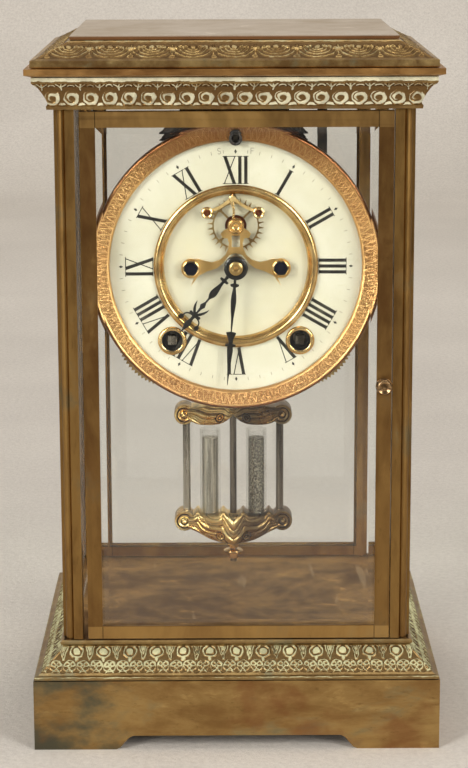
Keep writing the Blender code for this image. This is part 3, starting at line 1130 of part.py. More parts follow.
def make_escapement():
    """The anchor with its arbor and crutch, the gilt bridge and its two screws."""
    place = from_dial(*ANCHOR_PLACE)
    half = ANCHOR_ARM_WIDTH / 2
    bend_across = PALLET_ACROSS * ANCHOR_BEND_SHARES[0]
    bend_up = -PALLET_DROP * ANCHOR_BEND_SHARES[1]
    arms = [(0.0, half + STEP), (bend_across, half + bend_up),
            (PALLET_ACROSS, half - PALLET_DROP), (PALLET_ACROSS, -half - PALLET_DROP),
            (bend_across, bend_up - half), (0.0, -half - STEP)]
    front = ANCHOR_BACK + ANCHOR_THICKNESS
    body = flat([mirrored(arms)], ANCHOR_BACK, front, place)
    boss = rod(ANCHOR_BOSS_RADIUS, ANCHOR_BACK + ANCHOR_THICKNESS / 4,
               front + ANCHOR_THICKNESS, place)
    studs = [rod(PALLET_RADIUS, ANCHOR_BACK + ANCHOR_THICKNESS / 4, front + PALLET_HEIGHT,
                 place, across=side * PALLET_ACROSS, up=-PALLET_DROP) for side in (-1, 1)]
    crutch_front = -CRUTCH_FRONT_BACK
    crutch_back = crutch_front - CRUTCH_THICKNESS
    shaft = rod(ARBOR_RADIUS, crutch_back - OVERRUN, front, place)
    arm = block((-CRUTCH_HALF_WIDTH, -CRUTCH_LENGTH, crutch_back),
                (CRUTCH_HALF_WIDTH, CRUTCH_HALF_WIDTH, crutch_front), place)
    fork_back = -PENDULUM_BACK - CRUTCH_FORK_REACH
    fork = block((-CRUTCH_FORK_HALF_WIDTH, -CRUTCH_LENGTH - CRUTCH_FORK_HEIGHT / 2,
                  fork_back),
                 (CRUTCH_FORK_HALF_WIDTH, CRUTCH_FORK_HEIGHT / 2 - CRUTCH_LENGTH,
                  crutch_front - CRUTCH_THICKNESS / 3), place)
    upright = Matrix.Translation((PENDULUM_X, PENDULUM_BACK, 0.0))
    rod_top = DIAL_Z + ANCHOR_UP
    hole = rod(PENDULUM_ROD_RADIUS + RUN, rod_top - CRUTCH_LENGTH - CRUTCH_FORK_HEIGHT,
               rod_top - CRUTCH_LENGTH + CRUTCH_FORK_HEIGHT, upright)
    piece("anchor", "clock_brass", body, joins=[boss, shaft, arm, fork] + studs,
          cuts=(hole,))

    place = from_dial(0.0, -BRIDGE_DROP)
    height = ESCAPE_UP + BRIDGE_DROP
    half = [(0.0, height)] + [(x * BRIDGE_HALF_SPAN, y * height) for x, y in BRIDGE_SHARES]
    half += arc(BRIDGE_LUG_RADIUS, BRIDGE_HALF_SPAN, 0.0, 110.0, -75.0, 8)
    half += [(x * BRIDGE_HALF_SPAN, y * height) for x, y in BRIDGE_UNDER_SHARES]
    half += [(0.0, height * BRIDGE_MIDDLE_SHARE)]
    window = [(-BRIDGE_WINDOW_HALF_WIDTH, BRIDGE_WINDOW_FOOT),
              (BRIDGE_WINDOW_HALF_WIDTH, BRIDGE_WINDOW_FOOT),
              (BRIDGE_WINDOW_HALF_WIDTH, BRIDGE_WINDOW_FOOT + BRIDGE_WINDOW_HEIGHT),
              (-BRIDGE_WINDOW_HALF_WIDTH, BRIDGE_WINDOW_FOOT + BRIDGE_WINDOW_HEIGHT)]
    front = BRIDGE_BACK + BRIDGE_THICKNESS
    body = flat([mirrored(half), window], BRIDGE_BACK, front, place)
    feet = [rod(BRIDGE_FOOT_RADIUS, DISC_FRONT + SEAT, BRIDGE_BACK + BRIDGE_THICKNESS / 2,
                place, across=side * BRIDGE_HALF_SPAN) for side in (-1, 1)]
    bores = [rod(SCREW_SHANK_RADIUS + RUN, DISC_FRONT, front + OVERRUN, place,
                 across=side * BRIDGE_HALF_SPAN) for side in (-1, 1)]
    boss = rod(BRIDGE_BOSS_RADIUS, BRIDGE_BACK + BRIDGE_THICKNESS / 4,
               front + BRIDGE_BOSS_RISE, place, sides=ROUND_SIDES, up=height)
    piece("escapement_bridge", "gilt", body, joins=[boss] + feet, cuts=bores)

    for name, side in (("bridge_screw_left", -1), ("bridge_screw_right", 1)):
        place = from_dial(side * BRIDGE_HALF_SPAN, -BRIDGE_DROP)
        under = front + SEAT
        head = rod(SCREW_HEAD_RADIUS, under, under + SCREW_HEAD_HEIGHT, place,
                   sides=ROUND_SIDES)
        shank = rod(SCREW_SHANK_RADIUS, FRONT_PLATE_DEPTH, under + SCREW_HEAD_HEIGHT / 3,
                    place)
        slot = block((-SCREW_SLOT_WIDTH / 2, -SCREW_HEAD_RADIUS - OVERRUN,
                      under + SCREW_HEAD_HEIGHT - SCREW_SLOT_DEPTH),
                     (SCREW_SLOT_WIDTH / 2, SCREW_HEAD_RADIUS + OVERRUN,
                      under + SCREW_HEAD_HEIGHT + OVERRUN), place)
        piece(name, "blued_black", head, joins=(shank,), cuts=(slot,))


def make_regulator():
    """The slow and fast arbor over the movement, and the cock that it reaches."""
    place = from_dial(*REGULATOR_PLACE)
    cock_back = BACK_PLATE_DEPTH - SEAT - COCK_FOOT_THICKNESS
    half = REGULATOR_SQUARE / 2
    square = block((-half, -half, REGULATOR_FRONT - REGULATOR_SQUARE_LENGTH),
                   (half, half, REGULATOR_FRONT), place)
    shaft = rod(REGULATOR_RADIUS, cock_back - OVERRUN,
                REGULATOR_FRONT - REGULATOR_SQUARE_LENGTH / 2, place)
    piece("regulator_arbor", "steel", shaft, joins=(square,))

    place = from_dial(*ANCHOR_PLACE)
    arm_low = COCK_RISE
    arm_high = COCK_RISE + COCK_HEIGHT
    foot_top = REGULATOR_UP - ANCHOR_UP + COCK_MARGIN
    foot = block((-COCK_FOOT_HALF_WIDTH, arm_low, cock_back),
                 (COCK_FOOT_HALF_WIDTH, foot_top, cock_back + COCK_FOOT_THICKNESS), place)
    arm_back = -PENDULUM_BACK - SPRING_HALF_WIDTH - COCK_MARGIN
    arm = block((-COCK_HALF_WIDTH, arm_low + STEP, arm_back),
                (COCK_HALF_WIDTH, arm_high, cock_back + COCK_FOOT_THICKNESS / 2), place)
    slot = block((-COCK_SLOT_HALF_WIDTH, arm_low - OVERRUN,
                  -PENDULUM_BACK - SPRING_HALF_WIDTH - RUN),
                 (COCK_SLOT_HALF_WIDTH, arm_high + OVERRUN,
                  -PENDULUM_BACK + SPRING_HALF_WIDTH + RUN), place)
    hole = rod(REGULATOR_RADIUS + RUN, cock_back - OVERRUN,
               cock_back + COCK_FOOT_THICKNESS + OVERRUN, place,
               across=REGULATOR_PLACE[0] - ANCHOR_PLACE[0],
               up=REGULATOR_PLACE[1] - ANCHOR_PLACE[1])
    piece("suspension_cock", "clock_brass", foot, joins=(arm,), cuts=(slot, hole))


def bracket(name, seat, height, across, rise, shares, under_shares, way, place, cuts):
    """A cast scroll bracket across the pendulum: a leafy plate between two volutes.
    way is 1 where it grows upwards from the tubes' seat, and -1 where it hangs."""
    pivot_z = DIAL_Z + ANCHOR_UP
    seat_up = seat - pivot_z
    half = [(x * across, seat_up + way * y * height) for x, y in shares]
    half += [(x * across, seat_up + way * y * height) for x, y in under_shares]
    body = flat([mirrored(half)], -PENDULUM_BACK - BRACKET_THICKNESS / 2,
                BRACKET_THICKNESS / 2 - PENDULUM_BACK, place)
    volutes = [rod(VOLUTE_RADIUS, -PENDULUM_BACK - VOLUTE_THICKNESS / 2,
                   VOLUTE_THICKNESS / 2 - PENDULUM_BACK, place, sides=ROUND_SIDES,
                   across=side * across, up=seat_up + way * rise) for side in (-1, 1)]
    piece(name, "gilt", body, joins=volutes, cuts=cuts)


def make_pendulum():
    """The pendulum: spring and rod, two scroll brackets, side rods, tubes and nut."""
    place = from_dial(*ANCHOR_PLACE)
    pivot_z = DIAL_Z + ANCHOR_UP

    def upright(radius, low, high, across=0.0, sides=SMALL_SIDES):
        stood = Matrix.Translation((PENDULUM_X, PENDULUM_BACK, 0.0))
        return rod(radius, low, high, stood, sides=sides, across=across)

    def hung(radius, low, high, across=0.0, sides=SMALL_SIDES):
        """The same about the pivot, so that its origin lies on the joint's axis."""
        stood = Matrix.Translation((PENDULUM_X, 0.0, pivot_z))
        return rod(radius, low - pivot_z, high - pivot_z, stood, sides=sides,
                   across=across, up=PENDULUM_BACK)

    rod_top = pivot_z - ROD_TOP_DROP
    spring_top = COCK_RISE + COCK_HEIGHT + SEAT + 2 * HANGING_PIN_RADIUS
    spring = block((-SPRING_THICKNESS / 2, -ROD_TOP_DROP - OVERRUN,
                    -PENDULUM_BACK - SPRING_HALF_WIDTH),
                   (SPRING_THICKNESS / 2, spring_top,
                    -PENDULUM_BACK + SPRING_HALF_WIDTH), place)
    hanging_pin = rod(HANGING_PIN_RADIUS, -COCK_HALF_WIDTH, COCK_HALF_WIDTH,
                      Matrix.Translation((PENDULUM_X, PENDULUM_BACK, pivot_z + spring_top
                                          - HANGING_PIN_RADIUS))
                      @ Matrix.Rotation(math.pi / 2, 4, "Y"))
    piece("pendulum_rod", "steel", hung(PENDULUM_ROD_RADIUS, PENDULUM_ROD_FOOT_Z, rod_top),
          joins=(spring, hanging_pin))

    low_end = LOWER_SEAT_Z - BRACKET_SOCKET_DEPTH
    high_end = UPPER_SEAT_Z + BRACKET_SOCKET_DEPTH
    bores = {}
    for name, low, high in (("lower", NUT_TOP_Z - OVERRUN, LOWER_SEAT_Z + OVERRUN),
                            ("upper", UPPER_SEAT_Z - OVERRUN,
                             UPPER_SEAT_Z + UPPER_HEIGHT + OVERRUN)):
        bores[name] = [upright(PENDULUM_ROD_RADIUS + RUN, low, high)]
    for side in (-1, 1):
        across = side * SIDE_ROD_ACROSS
        bores["lower"].append(upright(SIDE_ROD_RADIUS + RUN, low_end - SEAT,
                                      LOWER_SEAT_Z + OVERRUN, across))
        bores["upper"].append(upright(SIDE_ROD_RADIUS + RUN, UPPER_SEAT_Z - OVERRUN,
                                      high_end + SEAT, across))
    bracket("pendulum_lower_bracket", LOWER_SEAT_Z, LOWER_HEIGHT, LOWER_VOLUTE_ACROSS,
            LOWER_VOLUTE_DROP, LOWER_SHARES, LOWER_UNDER_SHARES, -1, place, bores["lower"])
    bracket("pendulum_upper_bracket", UPPER_SEAT_Z, UPPER_HEIGHT, UPPER_VOLUTE_ACROSS,
            UPPER_VOLUTE_RISE, UPPER_SHARES, UPPER_UNDER_SHARES, 1, place, bores["upper"])

    foot = LOWER_SEAT_Z + SEAT
    for side, word in ((-1, "left"), (1, "right")):
        across = side * SIDE_ROD_ACROSS
        piece("pendulum_side_rod_" + word, "steel",
              hung(SIDE_ROD_RADIUS, low_end, high_end, across))
        middle = Matrix.Translation((PENDULUM_X + side * TUBE_ACROSS, PENDULUM_BACK, 0.0))
        head = UPPER_SEAT_Z - SEAT
        inner = TUBE_RADIUS - TUBE_WALL
        piece("pendulum_tube_" + word, "glass",
              lathe([(TUBE_RADIUS, head), (TUBE_RADIUS, foot), (inner, foot),
                     (inner, head)], middle, ROUND_SIDES))
        piece("mercury_column_" + word, "quicksilver",
              rod(inner - SEAT, foot, COLUMN_TOP_Z, middle, sides=ROUND_SIDES))

    below = Matrix.Translation((PENDULUM_X, PENDULUM_BACK, 0.0))
    bore = PENDULUM_ROD_RADIUS + RUN
    nut_foot = NUT_TOP_Z - NUT_HEIGHT
    piece("rating_nut", "gilt",
          lathe([(NUT_RADIUS * out, NUT_TOP_Z - NUT_HEIGHT * down)
                 for out, down in NUT_SHARES] + [
                 (bore, nut_foot), (bore, NUT_TOP_Z)], below, ROUND_SIDES))


def make_gong():
    """The gong's iron post, its coiled wire, and the hammer on its arbor."""
    top = CORNICE_Z - SEAT
    block_foot = GONG_CENTRE_Z + 2 * GONG_WIRE_RADIUS + SEAT
    half = GONG_POST_WIDTH / 2
    back = GONG_POST_BACK
    gong_y = back + GONG_POST_THICKNESS / 2
    post = block((GONG_POST_X - half, back, block_foot + GONG_BLOCK_HEIGHT / 2),
                 (GONG_POST_X + half, back + GONG_POST_THICKNESS, top))
    lump = block((GONG_POST_X - GONG_BLOCK_HALF, gong_y - GONG_BLOCK_HALF, block_foot),
                 (GONG_POST_X + GONG_BLOCK_HALF, gong_y + GONG_BLOCK_HALF,
                  block_foot + GONG_BLOCK_HEIGHT))
    foot = block((GONG_POST_X - GONG_BLOCK_HALF, back - GONG_BLOCK_HALF,
                  top - GONG_POST_THICKNESS),
                 (GONG_POST_X + GONG_BLOCK_HALF, back + GONG_BLOCK_HALF, top - STEP))
    piece("gong_post", "black_iron", post, joins=(lump, foot))

    centre_x = GONG_POST_X - GONG_OUTER_RADIUS
    pitch = (GONG_OUTER_RADIUS - GONG_INNER_RADIUS) / GONG_LOOPS
    points = [(GONG_OUTER_RADIUS, 2 * GONG_WIRE_RADIUS)]
    for step in range(GONG_LOOPS * GONG_LOOP_POINTS + 1):
        turn = 2 * math.pi * step / GONG_LOOP_POINTS
        radius = GONG_OUTER_RADIUS - pitch * turn / (2 * math.pi)
        points.append((radius * math.cos(turn), -radius * math.sin(turn)))
    points.append((GONG_INNER_RADIUS, -2 * GONG_WIRE_RADIUS))
    place = Matrix.Translation((centre_x, gong_y, GONG_CENTRE_Z))
    wire = tube([(x, 0.0, z) for x, z in points], GONG_WIRE_RADIUS, place)
    piece("gong_coil", "steel", wire)
    turns = points[1:-1]
    least = min(math.dist(turns[i], turns[i + j]) for i in range(len(turns))
                for j in range(GONG_LOOP_POINTS // 2, GONG_LOOP_POINTS * 2)
                if i + j < len(turns))
    print("gong coil: least gap between turns", round(least - 2 * GONG_WIRE_RADIUS, 5))

    place = from_dial(*HAMMER_PLACE)
    axis_x = DIAL_X + HAMMER_PLACE[0]
    axis_z = DIAL_Z + HAMMER_PLACE[1]
    strike = math.radians(HAMMER_STRIKE_ANGLE)
    reach = GONG_OUTER_RADIUS + GONG_WIRE_RADIUS + HAMMER_GAP
    near = (centre_x + reach * math.cos(strike) - axis_x,
            GONG_CENTRE_Z + reach * math.sin(strike) - axis_z)
    head_place = (Matrix.Translation((axis_x + near[0], gong_y, axis_z + near[1]))
                  @ Matrix.Rotation(math.pi / 2 - strike, 4, "Y"))
    head = rod(HAMMER_HEAD_RADIUS, 0.0, HAMMER_HEAD_LENGTH, head_place)
    far = (near[0] + HAMMER_HEAD_LENGTH / 2 * math.cos(strike),
           near[1] + HAMMER_HEAD_LENGTH / 2 * math.sin(strike))
    route = [(0.0, 0.0, -HAMMER_ARM_FRONT_BACK)]
    for drop, behind in HAMMER_ARM_DROP_SHARES:
        route.append((far[0] * drop, far[1] * drop, -HAMMER_ARM_FRONT_BACK - (gong_y
                      - HAMMER_ARM_FRONT_BACK) * behind))
    route.append((far[0], far[1], -gong_y))
    wire = tube(route, HAMMER_WIRE_RADIUS, place)
    shaft = rod(ARBOR_RADIUS, -HAMMER_ARM_FRONT_BACK - OVERRUN, FRONT_PLATE_DEPTH
                + PLATE_THICKNESS * BEARING_SHARE, place)
    toward = math.atan2(PIN_WHEEL_PLACE[1] - HAMMER_PLACE[1],
                        PIN_WHEEL_PLACE[0] - HAMMER_PLACE[0])
    tail_place = place @ Matrix.Rotation(toward, 4, "Z")
    tail = block((0.0, -HAMMER_TAIL_HALF_WIDTH, PIN_WHEEL_BACK - PIN_LENGTH),
                 (HAMMER_TAIL_LENGTH, HAMMER_TAIL_HALF_WIDTH, PIN_WHEEL_BACK - RUN),
                 tail_place)
    piece("hammer", "steel", shaft, joins=(wire, head, tail))


start()
make_base()
make_pillars()
make_top()
make_side_glass()
make_door(True)
make_door(False)
make_plates()
make_hanger()
make_dial()
make_hands()
make_barrel("time_barrel", "time_winding_arbor", BARREL_PLACE)
make_barrel("strike_barrel", "strike_winding_arbor", STRIKE_PLACE)
make_train()
make_escapement()
make_regulator()
make_pendulum()
make_gong()
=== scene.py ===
import math

import bmesh
import bpy
import numpy as np
from mathutils import Matrix, Vector


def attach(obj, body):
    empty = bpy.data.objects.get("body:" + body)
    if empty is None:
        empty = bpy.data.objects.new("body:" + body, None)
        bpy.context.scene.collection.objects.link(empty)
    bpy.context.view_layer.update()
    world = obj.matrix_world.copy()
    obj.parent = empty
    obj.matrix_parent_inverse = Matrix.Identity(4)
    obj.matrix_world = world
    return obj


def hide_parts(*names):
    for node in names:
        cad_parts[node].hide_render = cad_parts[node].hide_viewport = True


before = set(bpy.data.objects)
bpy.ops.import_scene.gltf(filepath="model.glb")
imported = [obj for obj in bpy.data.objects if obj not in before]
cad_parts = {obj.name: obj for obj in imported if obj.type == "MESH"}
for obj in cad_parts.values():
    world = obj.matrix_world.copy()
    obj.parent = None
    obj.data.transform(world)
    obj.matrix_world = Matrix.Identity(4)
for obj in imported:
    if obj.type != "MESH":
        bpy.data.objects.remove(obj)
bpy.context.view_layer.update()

# The camera stands a metre in front of the clock and a little above its top, and looks
# down at its middle.


def put(name, data):
    """Puts a new object with this data in the scene."""
    made = bpy.data.objects.new(name, data)
    bpy.context.scene.collection.objects.link(made)
    return made


lens = bpy.data.cameras.new("camera")
lens.lens, lens.sensor_width, lens.clip_start, lens.clip_end = 106.966, 36.0, 0.05, 60.0
camera = put("camera", lens)
bpy.context.scene.camera = camera
pitch, yaw, roll = 0.2150155, 0.0037678, -0.0033668
ahead = np.array([math.sin(yaw) * math.cos(pitch), math.cos(yaw) * math.cos(pitch),
                  -math.sin(pitch)])
level = np.array([math.cos(yaw), -math.sin(yaw), 0.0])
above = np.cross(level, ahead)
right = level * math.cos(roll) + above * math.sin(roll)
upward = above * math.cos(roll) - level * math.sin(roll)
stand_at = (-0.003896, -0.927233, 0.335453)
facing = np.eye(4)
facing[:3] = np.column_stack([right, upward, -ahead, stand_at])
camera.matrix_world = Matrix(facing.tolist())

# The floor is one pale cloth that sweeps up well behind the clock. It is painted paler far
# back, as painted light, and painted dark in front of the clock, out of sight, as painted
# shade for an unlit room, so that the panes mirror a dark room.


def tint(red, green, blue):
    """The linear colour of one given as it is seen, each part from 0 to 255."""
    seen = np.array([red, green, blue]) / 255.0
    return tuple(np.where(seen < 0.04045, seen / 12.92, ((seen + 0.055) / 1.055) ** 2.4))


class Value:
    """A shader node's output. Python's operators on it add Math nodes, from both sides."""

    def __init__(self, finish, socket):
        self.finish, self.socket = finish, socket

    def __add__(self, other):
        return self.finish.math("ADD", self, other)

    __radd__ = __add__

    def __sub__(self, other):
        return self.finish.math("SUBTRACT", self, other)

    def __rsub__(self, other):
        return self.finish.math("SUBTRACT", other, self)

    def __mul__(self, other):
        return self.finish.math("MULTIPLY", self, other)

    __rmul__ = __mul__

    def __abs__(self):
        return self.finish.math("ABSOLUTE", self)


class Finish:
    """A material. node() adds a node of any type: its settings are set first, and then
    its sockets take numbers, colours or the values of other nodes."""

    def __init__(self, name, metallic, roughness, **others):
        self.material = bpy.data.materials.new(name)
        self.material.use_nodes = True
        self.tree = self.material.node_tree
        self.shader = self.tree.nodes["Principled BSDF"]
        for key, value in dict(others, metallic=metallic, roughness=roughness).items():
            self.shader.inputs[key.replace("_", " ").title()].default_value = value
        self.place = self.node("TexCoord", out=3)

    def node(self, kind, settings=(), values=(), out=0):
        made = self.tree.nodes.new("ShaderNode" + kind)
        for key, value in dict(settings).items():
            setattr(made, key, value)
        for key, value in dict(values).items():
            if isinstance(value, Value):
                self.tree.links.new(value.socket, made.inputs[key])
            else:
                made.inputs[key].default_value = value
        return Value(self, made.outputs[out])

    def math(self, operation, *values):
        return self.node("Math", {"operation": operation}, dict(enumerate(values)))

    def feed(self, socket, value):
        self.tree.links.new(value.socket, self.shader.inputs[socket])

    def noise(self, scale, stretch=(1.0, 1.0, 1.0), detail=4.0, roughness=0.55, bend=0.0):
        at = self.node("Mapping", {}, {"Vector": self.place, "Scale": stretch})
        return self.node("TexNoise", {}, {"Vector": at, "Scale": scale, "Detail": detail,
                                          "Roughness": roughness, "Distortion": bend})

    def step(self, value, low, high):
        """From 0 where the value is low to 1 where it is high, smoothly."""
        return self.node("MapRange", {"interpolation_type": "SMOOTHSTEP"},
                         {"Value": value, "From Min": low, "From Max": high})

    def mix(self, share, first, second):
        first, second = [v if isinstance(v, Value) else (*v, 1.0) for v in (first, second)]
        return self.node("Mix", {"data_type": "RGBA"}, {0: share, 6: first, 7: second}, 2)

    def base(self):
        """The base colour so far."""
        return Value(self, self.shader.inputs["Base Color"].links[0].from_socket)

    def over(self, share, color):
        """Lays a colour over the base colour so far, fully where the share is 1."""
        self.feed("Base Color", self.mix(share, self.base(), color))

    def bump(self, height, distance, strength=1.0):
        self.feed("Normal", self.node("Bump", {}, {"Height": height, "Distance": distance,
                                                   "Strength": strength}))

    def painted(self, key):
        """The number that a mesh keeps for each of its points under this key."""
        return self.node("Attribute", {"attribute_name": key}, {}, 2)

    def axes(self):
        made = self.node("SeparateXYZ", {}, {"Vector": self.place})
        outputs = made.socket.node.outputs
        return [Value(self, outputs[i]) for i in range(3)]

    def way_from(self, centre):
        """How far a point is from an axis that runs front to back through the centre, which
        is in millimetres: the root of x^2 + z^2."""
        x, _, z = self.axes()
        x, z = x - 0.001 * centre[0], z - 0.001 * centre[2]
        return self.math("SQRT", x * x + z * z)


def sweep_floor():
    """The floor runs flat from front to back, then up a quarter circle, then straight up:
    its height is zero, then a circle's, then rises evenly."""
    front, flat_end, radius, top, half_width = -4000.0, 1500.0, 500.0, 5000.0, 5000.0
    angle = np.linspace(0.0, math.pi / 2, 24)
    run = np.r_[front, -1500.0, 0.0, flat_end + radius * np.sin(angle), flat_end + radius]
    height = np.r_[0.0, 0.0, 0.0, radius - radius * np.cos(angle), top]
    across = np.array([[-half_width, half_width]])
    grid = np.stack(np.broadcast_arrays(across, run[:, None], height[:, None]), -1)
    cells = [[2 * i, 2 * i + 1, 2 * i + 3, 2 * i + 2] for i in range(len(run) - 1)]
    mesh = bpy.data.meshes.new("floor")
    mesh.from_pydata((grid.reshape(-1, 3) * 0.001).tolist(), [], cells)
    mesh.polygons.foreach_set("use_smooth", np.ones(len(cells), dtype=bool))
    return mesh


cloth = Finish("backdrop_cloth", 0.0, 0.95)
weave = cloth.noise(380.0, detail=6.0, roughness=0.75)
clouds = cloth.step(cloth.noise(6.0, detail=3.0), 0.3, 0.7)
_, back, _ = cloth.axes()
near = cloth.mix(clouds, tint(211, 204, 195), tint(221, 214, 204))
# Painted light: the cloth far back is painted paler.
far_painted_light = cloth.mix(clouds, tint(236, 229, 219), tint(244, 237, 227))
pale = cloth.mix(cloth.step(back, 0.25, 1.15), near, far_painted_light)
# Painted shade: the cloth in front of the clock is near black, standing in for an unlit room.
cloth.feed("Base Color", cloth.mix(cloth.step(back, -0.95, -0.45), (0.035, 0.033, 0.03),
                                   pale))
cloth.over(cloth.step(weave, 0.3, 0.75) * 0.35, tint(165, 156, 147))
cloth.bump(weave, 0.0012, 0.6)
floor = put("floor", sweep_floor())
floor.data.materials.append(cloth.material)

# The room is dim and warm. Two upright soft boxes stand in front, one on each side, and a
# large one hangs over the clock.
room = bpy.data.worlds.new("room")
bpy.context.scene.world = room
bpy.context.scene.view_settings.view_transform = "Standard"
room.use_nodes = True
room.node_tree.nodes["Background"].inputs["Color"].default_value = (0.80, 0.76, 0.70, 1.0)
room.node_tree.nodes["Background"].inputs["Strength"].default_value = 0.25
for name, place, aim, size, power in (
        ("left_light", (-1.25, -1.45, 0.85), (0.0, 0.0, 0.15), (0.6, 1.0), 30.0),
        ("right_light", (1.25, -1.45, 0.85), (0.0, 0.0, 0.15), (0.6, 1.0), 26.5),
        ("top_light", (0.0, 0.1, 2.2), (0.0, 0.1, 0.1), (2.2, 1.6), 19.0)):
    lamp = bpy.data.lights.new(name, "AREA")
    lamp.shape, lamp.size, lamp.size_y = "RECTANGLE", *size
    lamp.energy, lamp.color = power, (1.0, 0.985, 0.965)
    away = Vector(place) - Vector(aim)
    swing = away.to_track_quat("Z", "Y").to_matrix().to_4x4()
    put(name, lamp).matrix_world = Matrix.Translation(place) @ swing

# The plinth is a box of sheet brass on four bracket feet. It is old and unpolished: gold
# where it is rubbed, brown and green-grey in clouds, with fine scratches along it.


def scaled(color, share):
    """A colour made darker or lighter."""
    return tuple(share * part for part in color)


def old_brass(name, gold, brown, grey, clouds, along=(1.0, 1.0, 1.0), wear=0.5, rough=0.38):
    """Brass whose colour drifts from gold to brown in large clouds and small ones, with a
    grey-green bloom and dark specks. All are drawn out along the piece, as its scratches."""
    made = Finish(name, 1.0, rough)
    drift = made.noise(clouds, along, 6.0, 0.68, 0.6)
    small = made.noise(clouds * 6.0, along, 5.0, 0.65, 0.3)
    bloom = made.noise(clouds * 0.55, (1.0, 1.0, 1.3), 5.0, 0.65, 0.8)
    specks = made.noise(520.0, along, 3.0, 0.7)
    made.feed("Base Color", made.mix(made.step(drift * 0.65 + small * 0.35, 0.38, 0.62),
                                     brown, gold))
    made.over(made.step(bloom * 0.7 + small * 0.3, 0.54, 0.66) * 0.8, grey)
    made.over(made.step(specks, 0.58, 0.78) * 0.4, scaled(brown, 0.45))
    made.over(made.step(small, 0.60, 0.72) * 0.35, scaled(gold, 1.6))
    made.feed("Roughness", rough - 0.12 + 0.25 * small + 0.14 * made.step(bloom, 0.5, 0.7))
    scratch = made.noise(650.0, tuple(0.06 if a < 1.0 else 1.0 for a in along), 2.0, 0.5)
    made.bump(scratch * 0.5 + specks * 0.5, 0.00006 + 0.00004 * wear)
    return made


def dress(finish, *nodes):
    """Gives CAD nodes a finish."""
    for node in nodes:
        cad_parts[node].material_slots[0].material = finish.material


plinth_brass = old_brass("plinth_brass", (0.44, 0.285, 0.105), (0.26, 0.145, 0.050),
                         (0.20, 0.185, 0.105), 20.0, (0.45, 0.45, 1.3))
rust = plinth_brass.noise(34.0, (1.0, 1.0, 1.2))
plinth_brass.over(plinth_brass.step(rust, 0.54, 0.68) * 0.5, (0.22, 0.075, 0.03))
across, _, up = plinth_brass.axes()
spread = plinth_brass.noise(28.0, (1.0, 1.0, 1.6), 5.0, 0.6)
stain = plinth_brass.step(spread - 4.0 * (across + 0.08) - 6.0 * up, 0.27, 0.47)
plinth_brass.over(stain * 0.85, (0.085, 0.10, 0.075))
dress(plinth_brass, "plinth")

# The base moulding is cast in four mitred lengths with one repeating ornament: roundels in
# rings with darts between them, over a row of small hearts. A pale green-white bloom has
# settled in the ornament.


def ridge(distance, width):
    """1 on a line, falling away on both sides as a bell: exp of minus (distance/width)^2."""
    return np.exp(-(distance / width) ** 2)


def rise(value, low, high):
    """From 0 at low to 1 at high, with level ends: 3t^2 - 2t^3."""
    share = np.clip((value - low) / (high - low), 0.0, 1.0)
    return share * share * (3.0 - 2.0 * share)


def skin(parts, name):
    """A mesh of closed surfaces. Each part is (points, round): a grid of points in
    millimetres, [along, across, xyz], whose cells are its faces. Across, the last column
    always joins the first. Along, it does so where round is True, and otherwise one face
    closes each end."""
    points, faces, first = [], [], 0
    for grid, is_round in parts:
        rows, columns = grid.shape[:2]
        index = np.arange(rows * columns).reshape(rows, columns) + first
        ends = [] if is_round else [index[0][::-1].tolist(), index[-1].tolist()]
        if is_round:
            index = np.vstack([index, index[:1]])
        index = np.hstack([index, index[:, :1]])
        cells = np.stack([index[:-1, :-1], index[1:, :-1], index[1:, 1:], index[:-1, 1:]], -1)
        faces += cells.reshape(-1, 4).tolist() + ends
        points.append(grid.reshape(-1, 3) * 0.001)
        first += rows * columns
    mesh = bpy.data.meshes.new(name)
    mesh.from_pydata(np.vstack(points).tolist(), [], faces)
    bm = bmesh.new()
    bm.from_mesh(mesh)
    bmesh.ops.recalc_face_normals(bm, faces=bm.faces)
    bm.to_mesh(mesh)
    bm.free()
    return mesh


def paint(mesh, key, values):
    """Keeps a number from 0 to 1 for each point of the mesh, for its finish to read."""
    mark = mesh.attributes.new(key, "FLOAT", "POINT")
    mark.data.foreach_set("value", np.clip(values, 0.0, 1.0).ravel())


def add(name, shape, finish, body, instead="", sharp=40.0):
    """Puts a mesh, or a list of its parts, in the scene as a piece that rides on a body. It
    is shaded smooth but for edges sharper than the angle, in degrees."""
    mesh = skin(shape, name) if isinstance(shape, list) else shape
    mesh.polygons.foreach_set("use_smooth", np.ones(len(mesh.polygons), dtype=bool))
    mesh.set_sharp_from_angle(angle=math.radians(sharp))
    mesh.materials.clear()
    mesh.materials.append(finish.material)
    made = put(name, mesh)
    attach(made, body)
    if instead:
        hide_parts(instead)


case_narrowing = 9.0


